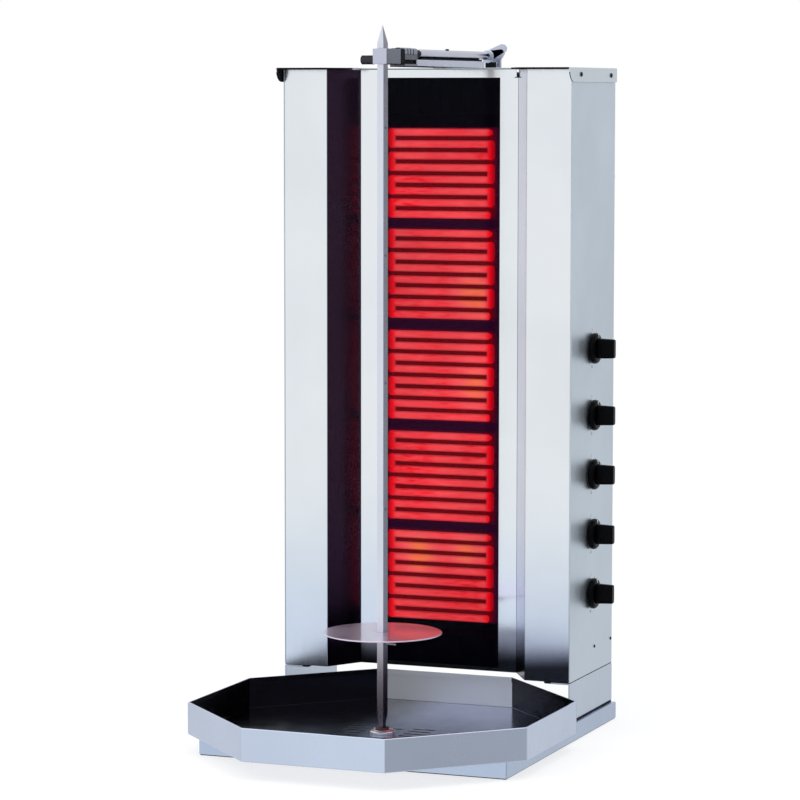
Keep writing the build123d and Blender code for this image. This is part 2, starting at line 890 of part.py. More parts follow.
# Locking lever on the rod's end: hub, round-ended leaf and a foot
with BuildPart() as lock_lever:
    with BuildSketch(facing_y(lever_front)):
        with Locations((0, rod_height)):
            Circle(lever_hub)
        with Locations((lever_tip_x, rod_height + lever_tip_rise)):
            Circle(lever_tip)
        make_hull()
        with BuildLine():
            Polyline(
                (rod_radius, rod_height),
                (lever_hub, rod_height - lever_foot_drop),
                (lever_foot_drop, rod_height - lever_foot_drop),
                (lever_foot_drop, rod_height + lever_tip),
                close=True,
            )
        make_face()
        with Locations((0, rod_height)):
            Circle(rod_radius + running, mode=Mode.SUBTRACT)
    extrude(amount=lever_front - lever_back)
    leaf_edges = lock_lever.faces().sort_by(Axis.Y)[0].outer_wire().edges()
    chamfer(leaf_edges, lever_bevel)
save("lock_lever", lock_lever)

count = sum(len(part.solids()) for part in made.values())
print(f"{len(made)} pieces written, {count} solids")
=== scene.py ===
"""Electric doner kebab grill: stainless sheet, glowing elements and a soft studio."""

import math

import bmesh
import bpy
from mathutils import Matrix, Vector


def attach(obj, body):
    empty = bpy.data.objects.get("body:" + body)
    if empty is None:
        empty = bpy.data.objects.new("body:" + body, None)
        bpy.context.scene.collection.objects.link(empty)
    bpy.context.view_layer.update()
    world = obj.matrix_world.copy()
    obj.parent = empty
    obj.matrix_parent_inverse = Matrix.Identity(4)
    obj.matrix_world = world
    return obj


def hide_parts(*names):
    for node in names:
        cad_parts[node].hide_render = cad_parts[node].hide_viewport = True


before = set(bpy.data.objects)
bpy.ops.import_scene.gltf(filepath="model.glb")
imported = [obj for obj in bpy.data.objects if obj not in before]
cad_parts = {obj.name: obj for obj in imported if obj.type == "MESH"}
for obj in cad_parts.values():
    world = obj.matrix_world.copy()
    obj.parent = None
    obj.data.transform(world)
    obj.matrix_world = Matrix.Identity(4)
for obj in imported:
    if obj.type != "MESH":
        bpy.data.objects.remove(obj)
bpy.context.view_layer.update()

# Camera: place and angle of the photograph, in metres and degrees
CAMERA_PLACE = (1.92905, -4.81176, 1.03892)
CAMERA_PITCH = 5.2686
CAMERA_YAW = 21.5405
CAMERA_ROLL = 0.0489
CAMERA_LENS = 148.85

# Sizes of the grill's own parts, in millimetres
SHEET = 1.5
BODY_FRONT = 187.0
BODY_BACK = 408.0
BODY_LOW = 95.0
BODY_TOP = 1080.0
RECESS_PLANE = 247.0
LID_HALF = 253.0
LID_TOP = 1083.0
KNOB_Y = 292.5
KNOB_HEIGHTS = (629.0, 520.0, 423.0, 325.0, 227.0)
ZONE_HEIGHTS = (911.0, 746.0, 579.0, 412.0, 246.5)
SPIT_TURN = -14.3
BAR_PITCH = 19.2
PIN_HEIGHT = 174.0
ROD_HEIGHT = 1104.0
CLAMP_HEIGHT = 1093.4
PAN_FLAT = 285.0
GLAND = (-150, 0, 130)

# Brushing of the steel: along one axis, or the same all round
ALONG_X = (0.02, 1, 1)
ALONG_Y = (1, 0.05, 1)
ALONG_Z = (1, 1, 0.02)
EVEN = (1, 1, 1)


# ---------------------------------------------------------------- modelling

def deselect():
    bpy.ops.object.select_all(action="DESELECT")


def open_piece(piece):
    """Go into edit mode on one piece with nothing selected."""
    deselect()
    piece.select_set(True)
    bpy.context.view_layer.objects.active = piece
    bpy.ops.object.mode_set(mode="EDIT")
    bpy.ops.mesh.select_all(action="DESELECT")


def close_piece():
    bpy.ops.object.mode_set(mode="OBJECT")


def open_whole(piece):
    """Go into edit mode on one piece with all of it selected."""
    open_piece(piece)
    bpy.ops.mesh.select_all(action="SELECT")


def face_outwards():
    """Turn all faces of the open piece outwards."""
    bpy.ops.mesh.select_all(action="SELECT")
    bpy.ops.mesh.normals_make_consistent(inside=False)


def choose(kind, test):
    """Select the open piece's parts whose middle, in millimetres, passes a test."""
    bpy.ops.mesh.select_mode(type=kind)
    bpy.ops.mesh.select_all(action="DESELECT")
    mesh = bmesh.from_edit_mesh(bpy.context.edit_object.data)
    for part in {"VERT": mesh.verts, "EDGE": mesh.edges, "FACE": mesh.faces}[kind]:
        if kind == "VERT":
            middle = part.co * 1000
        elif kind == "EDGE":
            middle = (part.verts[0].co + part.verts[1].co) * 500
        else:
            middle = part.calc_center_median() * 1000
        if test(middle, part):
            part.select_set(True)
    mesh.select_flush_mode()
    bmesh.update_edit_mesh(bpy.context.edit_object.data)


def push(x=0.0, y=0.0, z=0.0):
    """Extrude what is selected and move it, in millimetres."""
    bpy.ops.mesh.extrude_region_move(
        TRANSFORM_OT_translate={"value": (x / 1000, y / 1000, z / 1000)}
    )


def shift(x=0.0, y=0.0, z=0.0):
    bpy.ops.transform.translate(value=(x / 1000, y / 1000, z / 1000))


def round_off(kind, width, segments, test):
    """Round the open piece's vertices or edges that pass a test, by a width in millimetres."""
    choose(kind, test)
    affect = {"VERT": "VERTICES", "EDGE": "EDGES"}[kind]
    bpy.ops.mesh.bevel(offset=width / 1000, segments=segments, affect=affect)


def runs_along(axis, part):
    """Whether an edge runs along an axis for more than 5 mm."""
    ends = [getattr(end.co, axis) for end in part.verts]
    return abs(ends[0] - ends[1]) > 0.005


def split(place, facing):
    """Split the open piece's faces along a plane through a place in millimetres."""
    bpy.ops.mesh.select_all(action="SELECT")
    bpy.ops.mesh.bisect(plane_co=Vector(place) / 1000, plane_no=facing)


def swing(piece, turn, axis, centre=(0, 0, 0)):
    """Turn a piece's mesh about an axis through a place in millimetres."""
    open_whole(piece)
    bpy.ops.transform.rotate(
        value=turn, orient_axis=axis, center_override=Vector(centre) / 1000
    )
    close_piece()


def placed(name):
    """Name the newest primitive and put its place, turn and size into its mesh."""
    piece = bpy.context.object
    piece.name = name
    piece.data.name = name
    bpy.ops.object.transform_apply(location=True, rotation=True, scale=True)
    return piece


def slab(name, x_range, y_range, z_range, turn=0.0):
    """A block between three pairs of limits, turned about Z by degrees."""
    deselect()
    middle = [(low + high) / 2000 for low, high in (x_range, y_range, z_range)]
    size = [(high - low) / 1000 for low, high in (x_range, y_range, z_range)]
    bpy.ops.mesh.primitive_cube_add(
        size=1, location=middle, scale=size, rotation=(0, 0, math.radians(turn))
    )
    return placed(name)


def sheet_plane(name, corner, along, span):
    """A flat sheet from a corner, as long as one vector and as wide as another, in millimetres."""
    deselect()
    corner, along, span = Vector(corner), Vector(along), Vector(span)
    middle = (corner + along / 2 + span / 2) / 1000
    across = along.normalized()
    up = span.normalized()
    turn = Matrix((across, up, across.cross(up))).transposed().to_euler()
    bpy.ops.mesh.primitive_plane_add(size=1, location=middle, rotation=turn)
    bpy.context.object.scale = (along.length / 1000, span.length / 1000, 1)
    return placed(name)


AXIS_TURN = {"X": (0, math.pi / 2, 0), "Y": (-math.pi / 2, 0, 0), "Z": (0, 0, 0)}
AXIS_STEP = {"X": Vector((1, 0, 0)), "Y": Vector((0, 1, 0)), "Z": Vector((0, 0, 1))}


def turned(name, centre, axis, profile, sides=48):
    """A lathe-turned solid: a disc extruded and resized along an axis.

    The profile lists (distance along the axis, radius); the first and last discs are its ends.
    """
    deselect()
    step = AXIS_STEP[axis]
    start = (Vector(centre) + step * profile[0][0]) / 1000
    bpy.ops.mesh.primitive_circle_add(
        vertices=sides, radius=profile[0][1] / 1000, fill_type="NGON",
        location=start, rotation=AXIS_TURN[axis],
    )
    piece = placed(name)
    open_whole(piece)
    for (near, r_near), (far, r_far) in zip(profile, profile[1:]):
        push(*(step * (far - near)))
        if abs(r_far - r_near) > 1e-6:
            centre_now = (Vector(centre) + step * far) / 1000
            bpy.ops.transform.resize(
                value=(r_far / r_near,) * 3, center_override=centre_now
            )
    face_outwards()
    close_piece()
    return piece


def apply_modifier(piece, kind, **values):
    """Add a modifier with its values and apply it."""
    deselect()
    piece.select_set(True)
    bpy.context.view_layer.objects.active = piece
    bpy.ops.object.modifier_add(type=kind)
    modifier = piece.modifiers[-1]
    for key, value in values.items():
        setattr(modifier, key, value)
    bpy.ops.object.modifier_apply(modifier=modifier.name)


def soften(piece, width, segments=2, angle=30):
    """Round every edge sharper than an angle, by a width in millimetres."""
    apply_modifier(
        piece, "BEVEL", width=width / 1000, segments=segments, limit_method="ANGLE",
        angle_limit=math.radians(angle), harden_normals=False, use_clamp_overlap=True,
    )


def thicken(piece, thickness, side):
    """Give a sheet its thickness, towards its normals or away from them."""
    apply_modifier(
        piece, "SOLIDIFY", thickness=thickness / 1000, offset=side, use_even_offset=True,
        use_quality_normals=True,
    )
    open_piece(piece)
    face_outwards()
    close_piece()


def cut(piece, *cutters):
    """Cut other solids out of a piece and throw them away."""
    for cutter in cutters:
        apply_modifier(piece, "BOOLEAN", operation="DIFFERENCE", object=cutter, solver="EXACT")
        bpy.data.objects.remove(cutter)


def joined(name, *pieces):
    """Make one piece of several."""
    deselect()
    for piece in pieces:
        piece.select_set(True)
    bpy.context.view_layer.objects.active = pieces[0]
    bpy.ops.object.join()
    pieces[0].name = name
    pieces[0].data.name = name
    return pieces[0]


def copied(piece, name, x=0.0, y=0.0, z=0.0):
    """A copy with its own mesh, moved by millimetres."""
    twin = piece.copy()
    twin.data = piece.data.copy()
    twin.name = name
    twin.data.name = name
    bpy.context.scene.collection.objects.link(twin)
    open_whole(twin)
    shift(x, y, z)
    close_piece()
    return twin


def twinned(piece, name):
    """The left-hand twin of a right-hand piece."""
    twin = copied(piece, name)
    open_whole(twin)
    bpy.ops.transform.resize(value=(-1, 1, 1), center_override=(0, 0, 0))
    bpy.ops.mesh.flip_normals()
    close_piece()
    return twin


def folded_sheet(name, points, span, thickness, side=1, bend=2.0, edge=0.3):
    """Sheet metal bent along a line of points, with rounded bends and broken edges."""
    points = [Vector(point) for point in points]
    piece = sheet_plane(name, points[0], points[1] - points[0], span)
    open_piece(piece)
    span = Vector(span)
    end = points[1] + span / 2
    for near, far in zip(points[1:], points[2:]):
        choose("EDGE", lambda middle, part: (middle - end).length < 0.5)
        push(*(far - near))
        end = far + span / 2
    bends = [point + span / 2 for point in points[1:-1]]
    choose("EDGE", lambda middle, part: any((middle - bend_at).length < 0.5 for bend_at in bends))
    if bends:
        bpy.ops.mesh.bevel(offset=bend / 1000, segments=5, affect="EDGES")
    close_piece()
    thicken(piece, thickness, side)
    soften(piece, edge, 1, 50)
    return piece


def finish(piece, material, body, slot, *nodes, smooth=35):
    """Dress a piece, let it ride on its body and stand for its CAD nodes."""
    deselect()
    piece.select_set(True)
    bpy.context.view_layer.objects.active = piece
    bpy.ops.object.shade_smooth_by_angle(angle=math.radians(smooth))
    apply_modifier(piece, "WEIGHTED_NORMAL", mode="FACE_AREA", keep_sharp=True)
    if material:
        piece.data.materials.clear()
        piece.data.materials.append(material)
    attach(piece, body)
    if nodes:
        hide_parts(*nodes)


# ---------------------------------------------------------------- materials

def feed(socket, value):
    """Join another node's output to an input, or set the input's own value."""
    if isinstance(value, bpy.types.NodeSocket):
        socket.id_data.links.new(value, socket)
    else:
        socket.default_value = value


def adjust(node, **values):
    """Set a node's own settings and feed its inputs."""
    for key, value in values.items():
        if hasattr(node, key):
            setattr(node, key, value)
        else:
            feed(node.inputs[key.replace("_", " ")], value)
    return node


def add_node(tree, kind, **values):
    return adjust(tree.nodes.new(kind), **values)


def reckon(tree, operation, *values):
    """One step of arithmetic on numbers and other nodes' outputs."""
    node = add_node(tree, "ShaderNodeMath", operation=operation)
    for socket, value in zip(node.inputs, values):
        feed(socket, value)
    return node.outputs["Value"]


def vectors(tree, operation, *values, output="Vector"):
    """One step of arithmetic on vectors."""
    node = add_node(tree, "ShaderNodeVectorMath", operation=operation)
    for key, value in zip((0, "Scale" if operation == "SCALE" else 1), values):
        feed(node.inputs[key], value)
    return node.outputs[output]


def spread(tree, value, low, high, at_low, at_high, smooth=False):
    """A range of a value stretched to another one, and held beyond its ends."""
    node = add_node(tree, "ShaderNodeMapRange", Value=value, From_Min=low, From_Max=high,
                    To_Min=at_low, To_Max=at_high)
    if smooth:
        node.interpolation_type = "SMOOTHSTEP"
    return node.outputs["Result"]


def ramp(tree, value, low, high, at_low, at_high):
    """A smooth step of a value from one level to another."""
    return spread(tree, value, low, high, at_low, at_high, smooth=True)


def mixed(tree, share, first, second, blend="MIX"):
    """Two colours mixed by a share."""
    node = add_node(tree, "ShaderNodeMix", data_type="RGBA", blend_type=blend,
                    Factor=share, A=first, B=second)
    return node.outputs["Result"]


def noise(tree, vector, scale, detail, roughness=0.5):
    node = add_node(tree, "ShaderNodeTexNoise", Vector=vector, Scale=scale, Detail=detail,
                    Roughness=roughness)
    return node.outputs["Fac"]


def object_place(tree):
    """The place on the object, in metres."""
    return add_node(tree, "ShaderNodeTexCoord").outputs["Object"]


def axes(tree):
    """The place on the object as its X, Y and Z."""
    return add_node(tree, "ShaderNodeSeparateXYZ", Vector=object_place(tree)).outputs


def new_group(name, inputs, outputs):
    """A shader node group with named sockets; gives the group, its inputs and its outputs."""
    group = bpy.data.node_groups.new(name, "ShaderNodeTree")
    for label, kind, value in inputs:
        socket = group.interface.new_socket(name=label, in_out="INPUT", socket_type=kind)
        socket.default_value = value
    for label, kind in outputs:
        group.interface.new_socket(name=label, in_out="OUTPUT", socket_type=kind)
    given = group.nodes.new("NodeGroupInput").outputs
    return group, given, group.nodes.new("NodeGroupOutput").inputs


def brushed_group():
    """Fine brushing along one axis, soft clouding and handling marks."""
    group, given, result = new_group(
        "brushed_sheet",
        [
            ("Colour", "NodeSocketColor", (0.8, 0.8, 0.8, 1)),
            ("Grain X", "NodeSocketFloat", 1.0),
            ("Grain Y", "NodeSocketFloat", 1.0),
            ("Grain Z", "NodeSocketFloat", 1.0),
            ("Roughness", "NodeSocketFloat", 0.25),
            ("Marks", "NodeSocketFloat", 0.3),
        ],
        [("Colour", "NodeSocketColor"), ("Roughness", "NodeSocketFloat"),
         ("Height", "NodeSocketFloat")],
    )
    place = object_place(group)
    scale = add_node(group, "ShaderNodeCombineXYZ", X=given["Grain X"], Y=given["Grain Y"],
                     Z=given["Grain Z"])
    stretched = vectors(group, "MULTIPLY", place, scale.outputs["Vector"])
    grain = noise(group, stretched, 900.0, 3.0, 0.6)
    cloud = noise(group, place, 4.0, 4.0, 0.55)
    smudge = noise(group, place, 22.0, 5.0, 0.65)
    tone = spread(group, cloud, 0.3, 0.7, 0.94, 1.04)
    feed(result["Colour"], vectors(group, "SCALE", given["Colour"], tone))
    rub = reckon(group, "MULTIPLY", spread(group, smudge, 0.4, 0.75, 0.0, 0.22), given["Marks"])
    streak = spread(group, grain, 0.3, 0.7, -0.03, 0.03)
    worn = reckon(group, "ADD", given["Roughness"], rub)
    feed(result["Roughness"], reckon(group, "ADD", worn, streak))
    feed(result["Height"], grain)
    return group


def painted_foot_shade_group():
    """Painted shade: darkens a cover towards its foot and makes its lower part a little bluer, a
    painted reflection of the dark pan.
    """
    group, given, result = new_group(
        "painted_foot_shade",
        [
            ("Colour", "NodeSocketColor", (0.8, 0.8, 0.8, 1)),
            ("Level", "NodeSocketFloat", 0.1),
            ("Slope", "NodeSocketFloat", 0.0),
        ],
        [("Colour", "NodeSocketColor")],
    )
    place = axes(group)
    rise = reckon(group, "MULTIPLY_ADD", place["X"], given["Slope"], given["Level"])
    over = reckon(group, "SUBTRACT", place["Z"], rise)
    low = ramp(group, place["Z"], 0.12, 0.42, 1.0, 0.0)
    reflected_blue = mixed(group, low, given["Colour"], (0.80, 0.87, 1.0, 1), "MULTIPLY")
    shade = ramp(group, over, -0.026, 0.022, 0.05, 1.0)
    feed(result["Colour"], vectors(group, "SCALE", reflected_blue, shade))
    return group


BRUSHED = brushed_group()
PAINTED_FOOT_SHADE = painted_foot_shade_group()


def new_material(name):
    """A material, its tree and its shader."""
    material = bpy.data.materials.new(name)
    material.use_nodes = True
    return material, material.node_tree, material.node_tree.nodes["Principled BSDF"]


def raised(tree, strength, height):
    """Fine relief, 0.2 mm deep at full strength."""
    return add_node(
        tree, "ShaderNodeBump", Strength=strength, Distance=0.0002, Height=height
    ).outputs["Normal"]


def metal(name, colour, roughness, grain=ALONG_Z, marks=0.3, bump=0.02, foot=None):
    """Stainless or other bare metal, brushed along the axis whose grain value is small.

    The foot gives the height where the painted shade (a painted reflection of the dark pan) darkens
    a cover, and how much it rises along X.
    """
    material, tree, shader = new_material(name)
    brushed = add_node(
        tree, "ShaderNodeGroup", node_tree=BRUSHED, Colour=(*colour, 1), Grain_X=grain[0],
        Grain_Y=grain[1], Grain_Z=grain[2], Roughness=roughness, Marks=marks,
    ).outputs
    tinted = brushed["Colour"]
    # painted shade towards the foot, standing in for the reflected dark pan
    if foot:
        tinted = add_node(
            tree, "ShaderNodeGroup", node_tree=PAINTED_FOOT_SHADE, Colour=tinted, Level=foot[0], Slope=foot[1]
        ).outputs["Colour"]
    adjust(shader, Metallic=1.0, Base_Color=tinted, Roughness=brushed["Roughness"],
           Normal=raised(tree, bump, brushed["Height"]))
    return material


def moulded(name, colour, roughness, coat=0.0, grain_scale=600.0, bump=0.05, specular=0.5):
    """Plastic, rubber or paint with a fine moulded grain."""
    material, tree, shader = new_material(name)
    grain = noise(tree, object_place(tree), grain_scale, 3.0)
    adjust(
        shader, Base_Color=(*colour, 1), Coat_Weight=coat, Specular_IOR_Level=specular,
        Roughness=spread(tree, grain, 0.3, 0.7, roughness - 0.04, roughness + 0.06),
        Normal=raised(tree, bump, grain),
    )
    return material


def ceramic_glass():
    """Black ceramic glass that lets the hot elements show through."""
    material, tree, shader = new_material("ceramic_glass")
    haze = noise(tree, object_place(tree), 9.0, 4.0)
    adjust(
        shader, Base_Color=(0.0008, 0.0008, 0.003, 1), IOR=1.45, Specular_IOR_Level=0.06,
        Roughness=spread(tree, haze, 0.3, 0.7, 0.05, 0.12),
        Alpha=spread(tree, haze, 0.3, 0.7, 0.70, 0.74),
    )
    return material


# Orange spots on the elements: x, z and reach, in metres
HOT_SPOTS = ((0.055, 0.715, 0.06), (0.06, 0.56, 0.055), (-0.035, 0.285, 0.06), (0.045, 0.29, 0.05))


def zone_distance(tree, height):
    """How far a height is from the middle of the nearest heating zone."""
    nearest = None
    for middle in ZONE_HEIGHTS:
        away = reckon(tree, "ABSOLUTE", reckon(tree, "SUBTRACT", height, middle / 1000))
        nearest = away if nearest is None else reckon(tree, "MINIMUM", nearest, away)
    return nearest


def hot_element():
    """Glowing ribbon: red, duller at its edges and bends, with paler streaks and orange spots."""
    material, tree, shader = new_material("hot_element")
    place = object_place(tree)
    drawn = add_node(tree, "ShaderNodeMapping", Vector=place, Scale=(0.12, 1, 1)).outputs["Vector"]
    pale = spread(tree, noise(tree, drawn, 420.0, 4.0, 0.6), 0.35, 0.75, 0.0, 0.30)
    warm = spread(tree, noise(tree, place, 11.0, 3.0, 0.6), 0.35, 0.7, 0.0, 0.22)
    heat = reckon(tree, "ADD", pale, warm)
    for x, z, reach in HOT_SPOTS:
        away = vectors(tree, "DISTANCE", place, (x, 0.256, z), output="Value")
        heat = reckon(tree, "ADD", heat, ramp(tree, away, 0.0, reach, 0.5, 0.0))
    sideways = reckon(tree, "ABSOLUTE", axes(tree)["X"])
    straight = reckon(tree, "MULTIPLY", heat, ramp(tree, sideways, 0.074, 0.086, 1.0, 0.0))
    colours = add_node(tree, "ShaderNodeValToRGB", Fac=straight)
    stops = colours.color_ramp.elements
    stops[0].color = (0.85, 0.002, 0.010, 1)
    stops[1].color = (1.0, 0.24, 0.04, 1)
    for position, colour in ((0.12, (0.94, 0.045, 0.06, 1)), (0.45, (1.0, 0.10, 0.11, 1))):
        stops.new(position).color = colour
    across = reckon(tree, "PINGPONG", zone_distance(tree, axes(tree)["Z"]), BAR_PITCH / 2000)
    bar = ramp(tree, across, 0.0034, 0.0068, 0.50, 1.0)
    bend = ramp(tree, sideways, 0.077, 0.084, 0.0, 1.0)
    tip = ramp(tree, sideways, 0.085, 0.093, 1.0, 0.45)
    level = reckon(tree, "MULTIPLY", reckon(tree, "MAXIMUM", bar, bend), tip)
    adjust(
        shader, Base_Color=(0.05, 0.01, 0.01, 1), Roughness=0.7, Emission_Strength=11.0,
        Emission_Color=vectors(tree, "SCALE", colours.outputs["Color"], level),
    )
    return material


def painted_glow_fibre():
    """Fibre board behind the elements, with a painted glow: red inside each zone and purple between
    zones.
    """
    material, tree, shader = new_material("painted_glow_fibre")
    place = axes(tree)
    nearest = zone_distance(tree, place["Z"])
    zone = spread(tree, nearest, 0.068, 0.078, 1.0, 0.0)
    edge = spread(tree, reckon(tree, "ABSOLUTE", place["X"]), 0.086, 0.098, 1.0, 0.0)
    inside = reckon(tree, "MULTIPLY", zone, edge)
    tint = mixed(tree, inside, (0.12, 0.002, 0.09, 1), (1.0, 0.0, 0.012, 1))
    stack = spread(tree, nearest, 0.083, 0.105, 1.0, 0.0)
    adjust(
        shader, Base_Color=(0.02, 0.018, 0.02, 1), Roughness=0.9, Emission_Strength=1.5,
        Emission_Color=vectors(tree, "SCALE", tint, stack),
    )
    return material


def base_colour(material):
    """A material's tree, its shader's colour input and the output that feeds it."""
    socket = material.node_tree.nodes["Principled BSDF"].inputs["Base Color"]
    return material.node_tree, socket, socket.links[0].from_socket


def spit_metal(name, colour, reflected_foot_colour):
    """Drawn steel, darker and browner towards its foot: a painted reflection of the dark pan."""
    material = metal(name, colour, 0.26, marks=0.6, bump=0.03)
    tree, socket, drawn = base_colour(material)
    painted_foot_reflection = ramp(tree, axes(tree)["Z"], 0.112, 0.23, 1.0, 0.0)
    feed(socket, mixed(tree, painted_foot_reflection, drawn, (*reflected_foot_colour, 1)))
    return material


def disc_metal():
    """Satin steel under a thin glossy film of fat."""
    material = metal("disc_steel", (0.98, 0.86, 1.0), 0.38, grain=EVEN, marks=0.3, bump=0.006)
    adjust(material.node_tree.nodes["Principled BSDF"], Coat_Weight=1.0, Coat_Roughness=0.07,
           Coat_IOR=1.7)
    return material


def pan_floor_painted_reflection_metal():
    """Pan floor, darkened on its left half by a painted reflection."""
    material = metal("pan_floor_painted_reflection_steel", (0.42, 0.47, 0.68), 0.17, grain=ALONG_Y, marks=0.3,
                     bump=0.004)
    tree, socket, unreflected = base_colour(material)
    feed(socket, vectors(tree, "SCALE", unreflected, ramp(tree, axes(tree)["X"], -0.09, 0.02, 0.06, 1.0)))
    return material


def pan_front_painted_reflection_metal():
    """Inner front walls of the pan, light and hardly mirroring: a painted reflection."""
    material = metal("pan_front_painted_reflection_steel", (0.90, 0.91, 0.96), 0.45, grain=(0.05, 1.0, 1.0), marks=0.4)
    adjust(material.node_tree.nodes["Principled BSDF"], Metallic=0.3)
    return material


def dress(material, *names):
    """Give CAD nodes a finished material."""
    for name in names:
        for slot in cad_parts[name].material_slots:
            slot.material = material


def paint(piece, materials, rule):
    """Give a piece more materials, and each face the one that a rule picks.

    The rule gets the face's middle, in millimetres, and its normal; 0 is the piece's own finish.
    """
    for material in materials:
        piece.data.materials.append(material)
    for face in piece.data.polygons:
        face.material_index = int(rule(face.center * 1000, face.normal))


# ---------------------------------------------------------------- sheet-metal covers

def pillars():
    """Front pillars: face, angled wing and a return behind the glass frame."""
    right = folded_sheet(
        "pillar_right",
        [
            (248.5, 205, BODY_LOW), (248.5, BODY_FRONT, BODY_LOW), (173, BODY_FRONT, BODY_LOW),
            (137.5, RECESS_PLANE, BODY_LOW), (137.5, 268, BODY_LOW),
        ],
        (0, 0, BODY_TOP - BODY_LOW), SHEET, side=1, bend=1.2,
    )
    left = twinned(right, "pillar_left")
    finish(right, pillar_steel, "heater", "satin_steel", "right_pillar")
    finish(left, pillar_steel, "heater", "satin_steel", "left_pillar")
    # Painted light on the wings: a dark red-brown painted reflection on the left wing, a grey
    # painted shade on the right wing.
    paint(left, [wing_left_painted_reflection_steel], lambda middle, facing: facing.x > 0.5 and facing.y < -0.3)
    paint(right, [wing_right_painted_shade_steel], lambda middle, facing: facing.x < -0.5 and facing.y < -0.3)


def side_panels():
    """Side covers, folded round the rear corner."""
    right = folded_sheet(
        "side_cover_right",
        [(250, BODY_FRONT, BODY_LOW), (250, BODY_BACK, BODY_LOW), (234, BODY_BACK, BODY_LOW)],
        (0, 0, BODY_TOP - BODY_LOW), SHEET, side=-1, bend=2.0,
    )
    left = twinned(right, "side_cover_left")
    finish(right, side_steel, "heater", "satin_steel", "right_side_panel")
    finish(left, side_steel, "heater", "satin_steel", "left_side_panel")


def cheeks():
    """Legs under the housing, with rounded folds top and bottom."""
    right = folded_sheet(
        "cheek_right",
        [(218, BODY_FRONT, 93.8), (250, BODY_FRONT, 93.8), (250, BODY_FRONT, 30),
         (218, BODY_FRONT, 30)],
        (0, BODY_BACK - BODY_FRONT, 0), 2.0, side=-1, bend=2.5,
    )
    slots = []
    for place in (265, 385):
        slot_cutter = slab("cutter", (227.7, 236.3), (place - 49.45, place + 4.45), (26, 36))
        soften(slot_cutter, 4, 4, 80)
        slots.append(slot_cutter)
    cut(right, *slots)
    left = twinned(right, "cheek_left")
    finish(right, cheek_steel, "heater", "satin_steel", "right_cheek")
    finish(left, cheek_steel, "heater", "satin_steel", "left_cheek")


def painted_shadow_strips():
    """Dark strips of painted shadow in the joints over and under the cheeks, and the tabs under the
    pillars.
    """
    joint = slab("joint_shadow_strip_right", (240, 249.2), (BODY_FRONT + 2, BODY_BACK - 1), (93.5, 95.4))
    foot = slab("foot_shadow_strip_right", (244, 249.6), (222, BODY_BACK - 1), (28.2, 31.6))
    tab = slab("pillar_tab", (206, 247), (BODY_FRONT + 1, BODY_FRONT + 14), (91.8, 94.9))
    open_piece(tab)
    round_off("EDGE", 2.4, 4, lambda middle, part: runs_along("y", part) and middle.z < 93)
    close_piece()
    right = joined("shadow_strips_right", joint, foot, tab)
    left = twinned(right, "shadow_strips_left")
    finish(right, rubber_and_shadow_black, "heater", "buffer_rubber")
    finish(left, rubber_and_shadow_black, "heater", "buffer_rubber")


def window_frame():
    """Sheet frame round the glass, with a notch at its top right corner."""
    piece = sheet_plane("window_frame", (-137.2, RECESS_PLANE, BODY_LOW), (274.4, 0, 0),
                        (0, 0, BODY_TOP - BODY_LOW))
    open_piece(piece)
    for place, facing in (((-106, 0, 0), (1, 0, 0)), ((106, 0, 0), (1, 0, 0)),
                          ((0, 0, 101), (0, 0, 1)), ((0, 0, 1067), (0, 0, 1))):
        split(place, facing)
    choose("FACE", lambda middle, part: abs(middle.x) < 50 and 150 < middle.z < 1000)
    bpy.ops.mesh.delete(type="FACE")
    close_piece()
    thicken(piece, SHEET, -1)
    cut(piece, slab("cutter", (134.2, 140), (240, 260), (1068, 1090)),
        slab("cutter", (131, 140), (240, 260), (1066.8, 1068.2)))
    soften(piece, 0.3, 2)
    finish(piece, frame_steel, "heater", "satin_steel", "glass_frame")


def lid():
    """Lid plate that follows the recess, with rounded side flanges and a rolled front edge."""
    piece = sheet_plane("lid_sheet", (-LID_HALF, RECESS_PLANE, LID_TOP), (2 * LID_HALF, 0, 0),
                        (0, 159, 0))
    open_piece(piece)
    for place in (-137.5, 137.5):
        split((place, 0, 0), (1, 0, 0))
    choose("EDGE", lambda middle, part: middle.y < 248 and abs(middle.x) > 140)
    push(y=-36)
    push(y=-48)
    for side in (1, -1):
        choose("VERT", lambda middle, part: middle.y < 164 and 136 < side * middle.x < 140)
        shift(x=side * 28.5)
    choose("EDGE", lambda middle, part: abs(middle.x) > LID_HALF - 0.5)
    push(z=-23)
    round_off("VERT", 21, 6, lambda middle, part: middle.z < 1061 and middle.y < 164)
    round_off("EDGE", 1.5, 4, lambda middle, part: abs(middle.x) > LID_HALF - 0.5
              and middle.z > LID_TOP - 0.5)
    choose("EDGE", lambda middle, part: part.is_boundary and middle.y < 246
           and middle.z > LID_TOP - 0.5)
    push(z=-3)
    close_piece()
    thicken(piece, SHEET, -1)
    soften(piece, 0.5, 2, 40)
    finish(piece, lid_steel, "heater", "satin_steel", "lid")

    def shaded(middle, facing):
        inner = abs(middle.x) > 249 and facing.x * middle.x < 0 and abs(facing.x) > 0.5
        front = facing.y < -0.5 and middle.y < 246 and abs(middle.x) < 251.6
        return inner or front or facing.z < -0.3

    paint(piece, [shadow_black], shaded)


# ---------------------------------------------------------------- base and pan

def base():
    """Base tray with rounded folds and the round opening under the pan."""
    # The tray stops 1.7 mm above the floor, so the dark bottom plate under it shows as a painted
    # shadow line.
    piece = slab("base_box", (-258, 258), (-135, 408), (1.7, 28))
    open_piece(piece)
    choose("FACE", lambda middle, part: part.normal.z < -0.5)
    bpy.ops.mesh.delete(type="FACE")
    round_off("EDGE", 1.8, 4, lambda middle, part: not part.is_boundary)
    close_piece()
    thicken(piece, SHEET, -1)
    cut(piece, turned("cutter", (0, 0, 0), "Z", [(20, 92), (40, 92)], 96))
    finish(piece, base_steel, "base", "satin_steel", "base_tray")


# How much further an octagon's corners reach than its flats
PAN_CORNER = 1 / math.cos(math.pi / 8)


